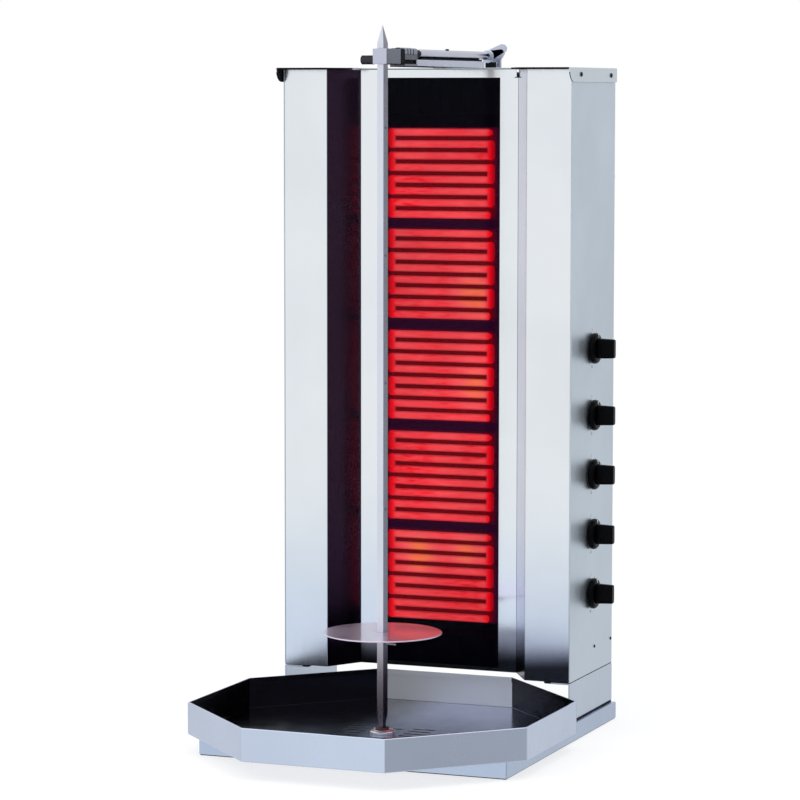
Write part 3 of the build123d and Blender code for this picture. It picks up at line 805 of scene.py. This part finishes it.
def octagon_rings(name, rings):
    """An octagon, square to X and Y, extruded through rings of (height, distance of its flats)."""
    deselect()
    height, flat = rings[0]
    bpy.ops.mesh.primitive_circle_add(
        vertices=8, radius=flat * PAN_CORNER / 1000, fill_type="NGON",
        location=(0, 0, height / 1000), rotation=(0, 0, math.radians(22.5)),
    )
    piece = placed(name)
    open_piece(piece)
    for (low, flat_low), (high, flat_high) in zip(rings, rings[1:]):
        choose("FACE", lambda middle, part: len(part.verts) == 8 and abs(middle.z - low) < 0.05)
        push(z=high - low)
        if flat_high != flat_low:
            bpy.ops.transform.resize(
                value=(flat_high / flat_low, flat_high / flat_low, 1),
                center_override=(0, 0, high / 1000),
            )
    bpy.ops.mesh.delete(type="FACE")
    close_piece()
    return piece


def pan():
    """Octagonal drip pan: folded floor, welded corners, a rolled hem and drain slots."""
    piece = octagon_rings("drip_pan", [(28, PAN_FLAT), (79.2, PAN_FLAT), (80, PAN_FLAT - 0.8),
                                       (80, PAN_FLAT - 2.6), (72.5, PAN_FLAT - 3.0)])
    open_piece(piece)
    round_off("EDGE", 2.2, 4, lambda middle, part: not runs_along("z", part) and middle.z < 29)
    face_outwards()
    close_piece()
    apply_modifier(piece, "SOLIDIFY", thickness=SHEET / 1000, offset=-1.0, use_even_offset=True)
    open_piece(piece)
    face_outwards()
    close_piece()
    places = [(side * 52, 20 * (row - 2.5)) for side in (-1, 1) for row in range(6)]
    places += [(0, -40), (0, 40)]
    for x, y in places:
        slot_cutter = slab("cutter", (x - 20, x + 20), (y - 3, y + 3), (20, 40))
        open_piece(slot_cutter)
        round_off("EDGE", 2.9, 5, lambda middle, part: runs_along("z", part))
        close_piece()
        cut(piece, slot_cutter)
    cut(piece, turned("cutter", (0, 0, 0), "Z", [(20, 14.2), (40, 14.2)], 48))
    soften(piece, 0.4, 2, 25)
    beads = []
    for corner in range(8):
        angle = math.radians(22.5 + 45 * corner)
        reach = PAN_FLAT * PAN_CORNER - 0.5
        beads.append(turned(
            "bead", (reach * math.cos(angle), reach * math.sin(angle), 0), "Z",
            [(30, 0.2), (31, 0.7), (77, 0.7), (78.5, 0.2)], 12,
        ))
    piece = joined("drip_pan", piece, *beads)
    finish(piece, pan_steel, "base", "satin_steel", "pan", smooth=30)

    # The inner walls and floor get painted reflections: near-black side walls, light back and front
    # walls, and a floor dark on its left half.
    def inside(middle, facing):
        angles = [math.radians(45 * side) for side in range(8)]
        flat = max(middle.x * math.cos(angle) + middle.y * math.sin(angle) for angle in angles)
        if flat >= 284.3 or not 28.8 < middle.z < 79:
            return 0
        if facing.z > 0.7:
            return 3
        if facing.y < -0.9:
            return 2
        return 4 if middle.y < -100 else 1

    paint(piece, [pan_wall_painted_reflection_steel, pan_back_painted_reflection_steel, pan_floor_painted_reflection_steel, pan_front_painted_reflection_steel], inside)


def bearing():
    """Flange on the pan floor and the bronze socket that turns in it."""
    flange = turned(
        "floor_flange", (0, 0, 0), "Z",
        [(29.6, 20), (33, 20), (34.2, 19), (35, 17), (35, 14), (35.6, 13.4)],
        64,
    )
    cut(flange, turned("cutter", (0, 0, 0), "Z", [(20, 11.2), (40, 11.2)], 64))
    soften(flange, 0.3, 2)
    screws = [
        turned("head", (16.6 * math.cos(a), 16.6 * math.sin(a), 0), "Z",
               [(34.5, 2.2), (35.6, 2.2), (36.1, 1.5)], 16)
        for a in (0.6, 0.6 + 2 * math.pi / 3, 0.6 + 4 * math.pi / 3)
    ]
    flange = joined("floor_flange", flange, *screws)
    finish(flange, flange_steel, "base", "polished_steel", "bearing_flange")
    socket = turned(
        "socket_cup", (0, 0, 0), "Z",
        [(29.5, 10.9), (36.4, 10.9), (36.9, 10.3), (37.5, 10.3), (38, 10.9), (38.8, 10.7),
         (39.6, 9.6), (39.8, 8.6)],
        64,
    )
    cut(socket, slab("cutter", (-4.3, 4.3), (-4.3, 4.3), (34, 50), SPIT_TURN))
    soften(socket, 0.25, 2)
    finish(socket, bronze, "drive", "bronze", "drive_socket")


# ---------------------------------------------------------------- spit and disc

def spit():
    """Square spit with a ground point, a tapered foot and its cross holes."""
    piece = slab("spit_bar", (-6, 6), (-6, 6), (60, 1118), SPIT_TURN)
    open_piece(piece)
    choose("FACE", lambda middle, part: part.normal.z > 0.5)
    push(z=3)
    bpy.ops.transform.resize(value=(0.95, 0.95, 1), center_override=(0, 0, 1.121))
    push(z=26)
    bpy.ops.transform.resize(value=(0.06, 0.06, 1), center_override=(0, 0, 1.147))
    choose("FACE", lambda middle, part: part.normal.z < -0.5)
    push(z=-14)
    bpy.ops.transform.resize(value=(8 / 12, 8 / 12, 1), center_override=(0, 0, 0.046))
    push(z=-12)
    close_piece()
    turn = math.radians(SPIT_TURN)
    for height in (PIN_HEIGHT, 388.2, 588.2, 788.2, 988.2):
        drill = turned("cutter", (0, 0, height), "X", [(-12, 1.75), (12, 1.75)], 20)
        swing(drill, -turn, "Z")
        cut(piece, drill)
    soften(piece, 0.5, 2, 25)
    finish(piece, spit_steel, "spit", "machined_steel", "spit")

    # Painted light: faces turned one way get a lighter copy of the spit steel, faces turned the
    # other a darker one.
    def lit(middle, facing):
        if facing.x * math.sin(turn) - facing.y * math.cos(turn) > 0.8:
            return 1
        return 2 if facing.x * math.cos(turn) + facing.y * math.sin(turn) > 0.8 else 0

    paint(piece, [spit_painted_light_steel, spit_painted_shade_steel], lit)
    pin = turned("locating_pin", (0, 0, PIN_HEIGHT), "X",
                 [(-12, 1.1), (-11.5, 1.5), (25.5, 1.5), (26, 1.1)], 20)
    swing(pin, -turn, "Z")
    finish(pin, bar_steel, "spit", "machined_steel", "disc_pin")


def disc():
    """Turned meat disc: slightly dished, with a rolled edge and a hub that rests on the pin."""
    piece = turned(
        "meat_disc", (0, 0, 0), "Z",
        [(190, 94.2), (190.3, 94.7), (191.6, 94.7), (192, 94.2), (192, 90), (191.8, 60),
         (191.8, 16), (192.2, 15), (192.2, 12)],
        128,
    )
    cut(piece, slab("cutter", (-6.5, 6.5), (-6.5, 6.5), (180, 200), SPIT_TURN))
    hub = turned("hub", (0, 0, 0), "Z",
                 [(PIN_HEIGHT + 1.8, 9.4), (PIN_HEIGHT + 2.4, 10), (190.1, 10)], 48)
    cut(hub, slab("cutter", (-6.5, 6.5), (-6.5, 6.5), (160, 200), SPIT_TURN))
    finish(joined("meat_disc", piece, hub), disc_steel, "disc", "polished_steel", "disc")


# ---------------------------------------------------------------- heating elements

def elements():
    """Ribbon elements: eight flat bars, joined at alternate ends, with softened edges."""
    half, thick, pitch, front = 93.0, 12.4, BAR_PITCH, 256.2
    top = 3.5 * pitch + thick / 2
    bar = sheet_plane("element_ribbon", (-half, front, top - thick), (2 * half, 0, 0),
                      (0, 0, thick))
    open_piece(bar)
    for place in (-(half - thick), half - thick):
        split((place, 0, 0), (1, 0, 0))
    for row in range(7):
        side = -1 if row % 2 == 0 else 1
        low = top - thick - row * pitch
        choose("EDGE", lambda middle, part: abs(middle.z - low) < 0.1
               and abs(middle.x - side * (half - thick / 2)) < 0.5)
        push(z=thick - pitch)
        push(z=-thick)
        low -= pitch
        choose("EDGE", lambda middle, part: abs(middle.z - low - thick / 2) < 0.1
               and abs(middle.x - side * (half - thick)) < 0.1)
        push(x=-side * 2 * (half - thick))
        push(x=-side * thick)
    choose("VERT", lambda middle, part: abs(middle.x - half) < 0.1 and middle.z > top - thick - 0.1)
    shift(x=-4)
    bpy.ops.transform.resize(value=(1, 1, 0.45), center_override=(0, 0, (top - thick / 2) / 1000))
    choose("VERT", lambda middle, part: abs(middle.x - half) < 0.1
           and middle.z < top - 7 * pitch + 0.1)
    shift(x=-7)
    corners = [(-half, top), (-half, top - 7 * pitch - thick),
               (half - 7, top - 7 * pitch), (half - 7, top - 7 * pitch - thick)]
    for row in range(7):
        side = -1 if row % 2 == 0 else 1
        high = top - row * pitch
        corners += [(side * half, high), (side * half, high - pitch - thick)]
    round_off("VERT", 5.2, 5, lambda middle, part: any(
        abs(middle.x - x) < 0.2 and abs(middle.z - z) < 0.2 for x, z in corners))
    bpy.ops.mesh.remove_doubles(threshold=0.00001)
    close_piece()
    thicken(bar, 4.6, -1)
    soften(bar, 1.3, 3, 50)
    for number, height in enumerate(ZONE_HEIGHTS, 1):
        twin = copied(bar, f"element_ribbon_{number}", z=height)
        finish(twin, element_finish, "heater", "hot_element", f"element_{number}")
    bpy.data.objects.remove(bar)
    strips = [
        slab("strip", (-103, 103), (264, 274), (low + 76, high - 76))
        for high, low in zip(ZONE_HEIGHTS, ZONE_HEIGHTS[1:])
    ]
    finish(joined("packing_strips", *strips), painted_glow_fibre_board, "heater", "insulation_board")


# ---------------------------------------------------------------- knobs and screws

def knobs():
    """Moulded knobs: rounded skirt, waisted shoulder, bar grip and a white index."""
    skirt = turned(
        "knob_skirt", (0, KNOB_Y, 0), "X",
        [(251.6, 22.5), (252.2, 24.4), (253.4, 25), (257, 25), (259.2, 24.2), (260.8, 22.4),
         (261.5, 20), (261.7, 15)],
        64,
    )
    grip = slab("knob_grip", (260, 289), (KNOB_Y - 7.5, KNOB_Y + 7.5), (-16.5, 16.5))
    open_piece(grip)
    choose("FACE", lambda middle, part: part.normal.x > 0.5)
    bpy.ops.transform.resize(value=(1, 0.84, 0.93), center_override=(0, KNOB_Y / 1000, 0))
    round_off("EDGE", 4.5, 5, lambda middle, part: runs_along("x", part))
    round_off("EDGE", 1.8, 4, lambda middle, part: middle.x > 288.9)
    close_piece()
    knob = joined("knob", skirt, grip)
    index = slab("index", (258.8, 261.9), (KNOB_Y - 0.9, KNOB_Y + 0.9), (17.5, 23.2))
    soften(index, 0.5, 2)
    for number, height in enumerate(KNOB_HEIGHTS, 1):
        body = f"knob_{number}"
        twin = copied(knob, f"knob_moulding_{number}", z=height)
        finish(twin, gloss_black, body, "black_plastic", body)
        mark = copied(index, f"knob_index_{number}", z=height)
        finish(mark, dial_paint, body, "black_plastic")
    bpy.data.objects.remove(knob)
    bpy.data.objects.remove(index)


def dials():
    """Printed ticks round each knob, with a small ring under it."""
    tick = slab("tick", (249.98, 250.12), (KNOB_Y - 0.35, KNOB_Y + 0.35), (28, 33))
    ring = turned("ring", (0, KNOB_Y, -30), "X", [(249.98, 2.6), (250.12, 2.6)], 24)
    cut(ring, turned("cutter", (0, KNOB_Y, -30), "X", [(249, 1.9), (251, 1.9)], 24))
    ticks = [ring]
    for degrees in (0, 40, 80, 120, 240, 280, 320):
        twin = copied(tick, "tick")
        swing(twin, math.radians(degrees), "X", (0, KNOB_Y, 0))
        ticks.append(twin)
    bpy.data.objects.remove(tick)
    dial = joined("dial", *ticks)
    for number, height in enumerate(KNOB_HEIGHTS, 1):
        finish(copied(dial, f"dial_print_{number}", z=height), print_grey, "heater", "satin_steel")
    bpy.data.objects.remove(dial)


def screws():
    """Domed screws with a cross recess, on the lid's flanges and low on the side covers."""
    head = turned("screw", (0, 0, 0), "X",
                  [(0, 4), (0.6, 4), (1.4, 3.5), (2.0, 2.5), (2.2, 1.2)], 24)
    for size in ((0.45, 2.2), (2.2, 0.45)):
        cut(head, slab("cutter", (1.2, 3), (-size[0], size[0]), (-size[1], size[1])))
    soften(head, 0.12, 1, 40)
    for name, x, places, scale, node in (
        ("lid_screw", LID_HALF, ((220.0, 1072.0), (374.5, 1071.0)), 1.0, "lid_screws"),
        ("cover_screw", 250, ((314.0, 136.0), (400.0, 136.0)), 0.7, "cover_screws"),
    ):
        heads = []
        for y, z in places:
            right = copied(head, "head")
            open_whole(right)
            bpy.ops.transform.resize(value=(scale,) * 3, center_override=(0, 0, 0))
            shift(x, y, z)
            close_piece()
            heads += [right, twinned(right, "head")]
        finish(joined(f"{name}_heads", *heads), screw_steel, "heater", "machined_steel", node)
    bpy.data.objects.remove(head)


# ---------------------------------------------------------------- top arm

def arm_block():
    """Bearing block, bronze bush, black spacer and the knurled clamp screw."""
    block = slab("arm_block", (-12, 12), (-12, 48), (1087, 1111))
    cut(block, turned("cutter", (0, 0, 0), "Z", [(1080, 10.5), (1120, 10.5)], 64))
    soften(block, 0.9, 3, 40)
    finish(block, arm_steel, "top_arm", "machined_steel", "bearing_block")
    # Painted shade: the face turned to +X gets a darker copy of the arm steel.
    paint(block, [arm_painted_shade_steel], lambda middle, facing: facing.x > 0.7)
    bush = turned("arm_bush", (0, 0, 0), "Z", [(1087.2, 10.45), (1111.3, 10.45)], 64)
    cut(bush, turned("cutter", (0, 0, 0), "Z", [(1080, 8.8), (1120, 8.8)], 64))
    soften(bush, 0.4, 2, 40)
    finish(bush, bronze, "top_arm", "bronze", "block_bush")
    spacer = slab("arm_washer", (-12.5, 12.5), (48.2, 62.5), (1086.5, 1111.5))
    open_piece(spacer)
    round_off("EDGE", 2, 4, lambda middle, part: runs_along("y", part))
    close_piece()
    soften(spacer, 0.5, 2, 40)
    finish(spacer, matt_black, "top_arm", "dark_plastic", "arm_spacer")
    knurl = turned("clamp_knob", (0, 0, CLAMP_HEIGHT), "X",
                   [(-35, 6.0), (-34.2, 6.6), (-14, 6.6), (-13, 6.0)], 48)
    open_piece(knurl)
    choose("FACE", lambda middle, part: abs(part.normal.x) < 0.1 and math.degrees(
        math.atan2(middle.z - CLAMP_HEIGHT, middle.y)) % 15 < 7.5)
    bpy.ops.mesh.extrude_faces_move(TRANSFORM_OT_shrink_fatten={"value": 0.0005})
    close_piece()
    shank = turned("shank", (0, 0, CLAMP_HEIGHT), "X", [(-14, 3.9), (-10.7, 3.9)], 24)
    finish(joined("clamp_knob", knurl, shank), dark_steel, "clamp_screw", "machined_steel",
           "clamp_screw")


def arm_boss():
    """Bored guide boss with turned grooves, on a neck painted shadow black and a foot plate on the
    lid.
    """
    boss = slab("arm_boss", (-13, 13), (63, 117), (1094.2, 1112.6))
    open_piece(boss)
    round_off("EDGE", 3.5, 5, lambda middle, part: runs_along("y", part) and middle.z > 1100)
    split((0, 0, 1103.8), (0, 0, 1))
    close_piece()
    for place in (74, 86, 98):
        cut(boss, slab("cutter", (-20, 20), (place, place + 3), (1102, 1120)))
    core = turned("core", (0, 0, ROD_HEIGHT), "Y", [(64, 9.6), (116, 9.6)], 32)
    for piece in (boss, core):
        cut(piece, turned("cutter", (0, 0, ROD_HEIGHT), "Y", [(50, 8.2), (130, 8.2)], 40))
    soften(boss, 0.6, 2, 40)
    neck = slab("neck", (-9, 9), (66, 114), (1087.5, 1094.6))
    foot = slab("foot", (-13, 13), (63, 117), (1083.6, 1087.8))
    soften(foot, 0.6, 2, 40)
    boss = joined("arm_boss", boss, core, neck, foot)
    finish(boss, boss_steel, "heater", "machined_steel", "guide_boss")

    # Painted light and shade: a lighter copy of the steel on the top, painted shadow black on the
    # neck, the painted shaded steel on the foot plate.
    def by_height(middle, facing):
        if middle.z > 1103.8:
            return 1
        if 1087.8 < middle.z < 1094.1:
            return 2
        return 3 if middle.z < 1087.9 else 0

    paint(boss, [boss_painted_light_top_steel, shadow_black, arm_painted_shade_steel], by_height)


def arm_rod():
    """Rod with a cut thread behind the boss and a turned end."""
    profile = [(117.2, 5.2), (118, 6.3)]
    for turn in range(20):
        start = 118 + turn * 1.6
        profile += [(start + 0.8, 5.5), (start + 1.6, 6.3)]
    thread = turned("arm_thread", (0, 0, ROD_HEIGHT), "Y", [*profile, (151, 5.2)], 40)
    finish(thread, dark_steel, "top_arm", "machined_steel")
    piece = turned("arm_bar", (0, 0, ROD_HEIGHT + 0.8), "Y",
                   [(150.8, 6.2), (151.6, 7.0), (485.8, 7.0), (486.9, 6.0)], 40)
    neck = turned("neck", (0, 0, ROD_HEIGHT), "Y", [(48.1, 5.9), (117.3, 5.9)], 40)
    finish(joined("arm_bar", piece, neck), rod_steel, "top_arm", "machined_steel", "arm_rod")
    screw = turned("arm_stop", (0, 284, 0), "Z",
                   [(1109, 1.6), (1111.6, 1.6), (1111.6, 3.2), (1113, 3.2), (1113.9, 2.3)], 24)
    finish(screw, screw_steel, "top_arm", "machined_steel", "stop_screw")


def arm_guide():
    """Channel under the rod, open at its back end, with its glide strip."""
    tube = slab("arm_channel", (-12, 12), (117, 431), (1084.2, 1095))
    cut(tube, slab("cutter", (-10, 10), (100, 440), (1086, 1093)))
    soften(tube, 0.9, 3, 40)
    finish(tube, arm_steel, "heater", "satin_steel", "arm_guide")
    pad = slab("channel_pad", (-11.6, 11.6), (60, 430.6), (1083.05, 1084.4))
    finish(pad, rubber_and_shadow_black, "heater", "buffer_rubber")


def hulled(name, *rounds):
    """One flat blade wrapped round several discs, each given by x, height and radius."""
    discs = [turned(name, (x, 0, height), "Y", [(479, radius), (485, radius)], 48)
             for x, height, radius in rounds]
    blade = joined(name, *discs)
    open_whole(blade)
    bpy.ops.mesh.convex_hull()
    face_outwards()
    close_piece()
    soften(blade, 0.7, 2, 60)
    return blade


def lever():
    """Locking lever: clamp hub, round-ended leaf, its heel and a rubber pad under the hub."""
    hub = turned("lever_hub", (0, 0, ROD_HEIGHT), "Y",
                 [(476.8, 9.6), (478, 11), (486, 11), (486.8, 10.2)], 48)
    leaf = hulled("leaf", (0, ROD_HEIGHT, 9.5), (25, ROD_HEIGHT + 13, 7.5))
    heel = hulled("heel", (0, ROD_HEIGHT, 9.5), (17, ROD_HEIGHT - 3.5, 6.0),
                  (23, ROD_HEIGHT + 6, 6.0))
    foot = slab("foot", (14.5, 23), (479.2, 484.8), (1084.4, 1106))
    soften(foot, 1.2, 3, 60)
    finish(joined("lever_clamp", hub, leaf, heel, foot), arm_steel, "lock_lever", "machined_steel",
           "lock_lever")
    pad = slab("lever_pad", (-5, 15), (479.4, 484.6), (1085, 1094.6))
    soften(pad, 0.8, 2, 60)
    finish(pad, rubber_and_shadow_black, "lock_lever", "buffer_rubber")


# ---------------------------------------------------------------- back

def back_fittings():
    """Cable gland with its nut, and ribbed rubber buffers."""
    nut = turned("gland_nut", GLAND, "Y",
                 [(406.6, 14.4), (407.2, 15), (412, 15), (412.6, 14.2)], 6)
    soften(nut, 0.5, 2, 20)
    cap = turned(
        "gland_cap", GLAND, "Y",
        [(400, 10), (417, 10), (417.4, 11), (421, 11), (423.5, 10.4), (425.5, 8.4), (426, 6.4)],
        48,
    )
    gland = joined("gland_cap", cap, nut)
    cut(gland, turned("cutter", GLAND, "Y", [(390, 4.5), (440, 4.5)], 40))
    soften(gland, 0.3, 2, 50)
    finish(gland, matt_black, "heater", "dark_plastic", "cable_gland")
    right = turned(
        "buffer", (236, 0, 905), "Y",
        [(408.1, 11), (411, 11), (411.6, 10.4), (412.6, 10.4), (413.2, 10.9), (416, 10.7),
         (416.6, 10.1), (417.6, 10.1), (418.2, 10.5), (419.4, 10), (420, 8.6), (420, 4), (418.6, 3)],
        40,
    )
    left = twinned(right, "buffer_left")
    finish(joined("rear_buffer_pair", right, left), rubber_and_shadow_black, "heater", "buffer_rubber",
           "rear_buffers")


# ---------------------------------------------------------------- finishes

# The foot values paint shade on the lower pillars, glass frame and right wing: a painted reflection
# of the dark pan.
pillar_steel = metal("pillar_steel", (0.97, 0.99, 1.0), 0.20,
                     marks=0.1, bump=0.002, foot=(0.119, 0.10))
frame_steel = metal("frame_steel", (0.97, 0.99, 1.0), 0.10,
                    marks=0.1, bump=0.002, foot=(0.130, 0.03))
# Wing steels: painted shade on the right wing, painted reflection on the left wing.
wing_right_painted_shade_steel = metal("wing_right_painted_shade_steel", (0.68, 0.66, 0.74), 0.16, marks=0.1, bump=0.002,
                        foot=(0.125, 0.03))
wing_left_painted_reflection_steel = metal("wing_left_painted_reflection_steel", (0.05, 0.028, 0.05), 0.14, marks=0.2, bump=0.004)
side_steel = metal("side_steel", (0.76, 0.83, 0.90), 0.38, marks=0.25, bump=0.01)
cheek_steel = metal("cheek_steel", (0.68, 0.74, 0.84), 0.28, marks=0.3, bump=0.01)
lid_steel = metal("lid_steel", (0.80, 0.85, 0.90), 0.30, grain=ALONG_X, marks=0.3, bump=0.01)
pan_steel = metal("pan_steel", (0.70, 0.77, 0.92), 0.22, grain=ALONG_X, marks=0.4, bump=0.01)
# Pan inner walls: painted reflections, near-black at the sides and light at the back and front.
pan_wall_painted_reflection_steel = metal("pan_wall_painted_reflection_steel", (0.03, 0.028, 0.04), 0.16, grain=(1.0, 1.0, 0.05),
                       marks=0.5)
pan_back_painted_reflection_steel = metal("pan_back_painted_reflection_steel", (0.96, 0.97, 1.0), 0.55, grain=(0.05, 1.0, 1.0), marks=0.4)
pan_front_painted_reflection_steel = pan_front_painted_reflection_metal()
base_steel = metal("base_steel", (0.57, 0.66, 0.82), 0.24, grain=ALONG_X, marks=0.4, bump=0.01)
flange_steel = metal("flange_steel", (0.86, 0.80, 0.82), 0.26, grain=EVEN, marks=0.6, bump=0.01)
disc_steel = disc_metal()
bar_steel = metal("bar_steel", (0.62, 0.62, 0.66), 0.26, marks=0.6, bump=0.03)
arm_steel = metal("arm_steel", (0.66, 0.68, 0.80), 0.24, grain=ALONG_Y, marks=0.4, bump=0.01)
arm_painted_shade_steel = metal("arm_painted_shade_steel", (0.19, 0.20, 0.25), 0.26, grain=ALONG_Y,
                       marks=0.4, bump=0.01)
boss_painted_light_top_steel = metal("boss_painted_light_top_steel", (0.30, 0.31, 0.37), 0.24, grain=ALONG_Y,
                       marks=0.5, bump=0.01)
boss_steel = metal("boss_steel", (0.12, 0.12, 0.15), 0.20, grain=ALONG_Y, marks=0.6, bump=0.02)
rod_steel = metal("rod_steel", (0.72, 0.72, 0.80), 0.16, grain=ALONG_Y, marks=0.4, bump=0.01)
screw_steel = metal("screw_steel", (0.04, 0.045, 0.06), 0.25, grain=EVEN, marks=0.4, bump=0.01)
dark_steel = metal("dark_steel", (0.07, 0.062, 0.07), 0.30, grain=(0.1, 1, 1), marks=0.6)
zinc_steel = metal("zinc_steel", (0.50, 0.52, 0.55), 0.40, grain=EVEN, marks=0.8)
inner_and_painted_shade_steel = metal("inner_and_painted_shade_steel", (0.05, 0.05, 0.06), 0.45, grain=EVEN, marks=0.6)
bronze = metal("bronze", (0.13, 0.065, 0.055), 0.26, grain=(1, 1, 0.1), marks=0.8)
gloss_black = moulded("gloss_black", (0.0008, 0.0008, 0.0014), 0.18, bump=0.0, specular=0.06)
matt_black = moulded("matt_black", (0.003, 0.003, 0.004), 0.5, specular=0.06)
shadow_black = moulded("shadow_black", (0.002, 0.003, 0.005), 0.6, specular=0.1)
rubber_and_shadow_black = moulded("rubber_and_shadow_black", (0.006, 0.006, 0.008), 0.75, grain_scale=300.0, specular=0.2)
dial_paint = moulded("dial_paint", (0.85, 0.85, 0.84), 0.5)
print_grey = moulded("print_grey", (0.22, 0.23, 0.26), 0.5)
can_paint = moulded("can_paint", (0.22, 0.23, 0.25), 0.4)
porcelain = moulded("porcelain", (0.82, 0.80, 0.74), 0.25, coat=0.3)
glass_finish = ceramic_glass()
element_finish = hot_element()
painted_glow_fibre_board = painted_glow_fibre()
pan_floor_painted_reflection_steel = pan_floor_painted_reflection_metal()
spit_steel = spit_metal("spit_steel", (0.62, 0.62, 0.66), (0.20, 0.17, 0.19))
# Painted light and painted shade copies of the spit steel, for its two facing sides.
spit_painted_light_steel = spit_metal("spit_painted_light_steel", (0.86, 0.87, 0.96), (0.36, 0.32, 0.36))
spit_painted_shade_steel = spit_metal("spit_painted_shade_steel", (0.42, 0.41, 0.47), (0.11, 0.085, 0.13))

dress(side_steel, "back_panel")
dress(zinc_steel, "heater_floor")
# The bottom plate's dark edge paints the contact shadow under the base; the element carrier and
# grease tray take the same dark steel.
dress(inner_and_painted_shade_steel, "bottom_plate", "element_carrier", "grease_tray")
dress(bar_steel, "output_shaft", "guide_bolts", *[f"knob_shaft_{n}" for n in range(1, 6)])
dress(matt_black, "rod_glide", "glide_strips", "regulators")
dress(can_paint, "gearmotor")
dress(painted_glow_fibre_board, "insulation")
dress(porcelain, "terminal_block")
dress(glass_finish, "glass")

for make in (
    pillars, side_panels, cheeks, painted_shadow_strips, window_frame, lid, base, pan, bearing, spit, disc,
    elements, knobs, dials, screws, arm_block, arm_boss, arm_rod, arm_guide, lever, back_fittings,
):
    make()


# ---------------------------------------------------------------- studio

def rays(tree, *names):
    """One where the ray is of any of the named kinds."""
    path = add_node(tree, "ShaderNodeLightPath")
    value = path.outputs[names[0]]
    for name in names[1:]:
        value = reckon(tree, "MAXIMUM", value, path.outputs[name])
    return value


def blended(tree, share, first, second):
    """Two shaders mixed by a share."""
    node = add_node(tree, "ShaderNodeMixShader")
    for socket, value in zip(node.inputs, (share, first, second)):
        feed(socket, value)
    return node.outputs["Shader"]


def floor():
    """Pale floor: white to the camera, with the grill's soft shadow, and clear to mirror rays."""
    deselect()
    bpy.ops.mesh.primitive_plane_add(size=60, location=(0, 0, -0.0005))
    ground = bpy.context.object
    ground.name = "floor"
    surface = bpy.data.materials.new("floor_paint")
    surface.use_nodes = True
    tree = surface.node_tree
    tree.nodes.clear()
    plain = add_node(tree, "ShaderNodeBsdfDiffuse", Color=(0.85, 0.85, 0.85, 1)).outputs["BSDF"]
    shaded = add_node(tree, "ShaderNodeBsdfDiffuse", Color=(0.30, 0.30, 0.30, 1)).outputs["BSDF"]
    glow = add_node(tree, "ShaderNodeEmission", Strength=0.72).outputs["Emission"]
    lit = add_node(tree, "ShaderNodeAddShader")
    feed(lit.inputs[0], shaded)
    feed(lit.inputs[1], glow)
    white = add_node(tree, "ShaderNodeEmission", Strength=1.0).outputs["Emission"]
    reach = vectors(tree, "LENGTH", object_place(tree), output="Value")
    seen = blended(tree, ramp(tree, reach, 0.5, 1.6, 0.0, 1.0), lit.outputs["Shader"], white)
    by_camera = blended(tree, rays(tree, "Is Camera Ray"), plain, seen)
    clear = add_node(tree, "ShaderNodeBsdfTransparent").outputs["BSDF"]
    by_gloss = blended(tree, rays(tree, "Is Glossy Ray", "Is Transmission Ray"), by_camera, clear)
    add_node(tree, "ShaderNodeOutputMaterial", Surface=by_gloss)
    ground.data.materials.append(surface)


# Light from all round: a base level, and what each side of the room adds to it
STUDIO_LEVEL = 0.74
STUDIO_SIDES = (
    ((-0.37, -0.93, 0.0), 0.10),
    ((0.93, -0.37, 0.0), -0.29),
    ((0.37, 0.93, 0.0), -0.05),
    ((0.0, 0.0, 1.0), 0.45),
)


def studio_world():
    """Soft studio all round, brightest in front on the left and darkest on the right."""
    world = bpy.data.worlds.new("studio_world")
    bpy.context.scene.world = world
    world.use_nodes = True
    tree = world.node_tree
    tree.nodes.clear()
    direction = add_node(tree, "ShaderNodeTexCoord").outputs["Generated"]
    level = STUDIO_LEVEL
    for facing, weight in STUDIO_SIDES:
        along = vectors(tree, "DOT_PRODUCT", direction, facing, output="Value")
        level = reckon(tree, "ADD", level, ramp(tree, along, 0.2, 1.0, 0.0, weight))
    sky = add_node(tree, "ShaderNodeBackground", Color=(0.93, 0.965, 1.0, 1), Strength=level)
    white = add_node(tree, "ShaderNodeBackground", Color=(1, 1, 1, 1), Strength=1.0)
    seen = blended(tree, rays(tree, "Is Camera Ray"), sky.outputs["Background"],
                   white.outputs["Background"])
    add_node(tree, "ShaderNodeOutputWorld", Surface=seen)


def area_lamp(name, place, target, size, power):
    """A soft square lamp that faces a point."""
    data = bpy.data.lights.new(name, "AREA")
    data.energy = power
    data.size = size
    lamp = bpy.data.objects.new(name, data)
    lamp.location = place
    direction = Vector(target) - Vector(place)
    lamp.rotation_euler = direction.to_track_quat("-Z", "Y").to_euler()
    lamp.visible_glossy = False
    bpy.context.scene.collection.objects.link(lamp)


def camera():
    """The photograph's camera."""
    data = bpy.data.cameras.new("photo_camera")
    data.lens = CAMERA_LENS
    data.sensor_width = 36.0
    data.clip_end = 200.0
    seen = bpy.data.objects.new("photo_camera", data)
    seen.location = CAMERA_PLACE
    turn = Matrix.Rotation(math.radians(CAMERA_YAW), 4, "Z")
    tilt = Matrix.Rotation(math.radians(90 - CAMERA_PITCH), 4, "X")
    roll = Matrix.Rotation(math.radians(CAMERA_ROLL), 4, "Z")
    seen.rotation_euler = (turn @ tilt @ roll).to_euler()
    bpy.context.scene.collection.objects.link(seen)
    bpy.context.scene.camera = seen


floor()
studio_world()
area_lamp("key_lamp", (-2.5, -3.0, 3.2), (0, 0.1, 0.5), 2.5, 50)
area_lamp("top_lamp", (1.2, -1.0, 4.0), (0, 0.1, 0.5), 2.0, 30)
camera()
bpy.context.scene.view_settings.view_transform = "Standard"
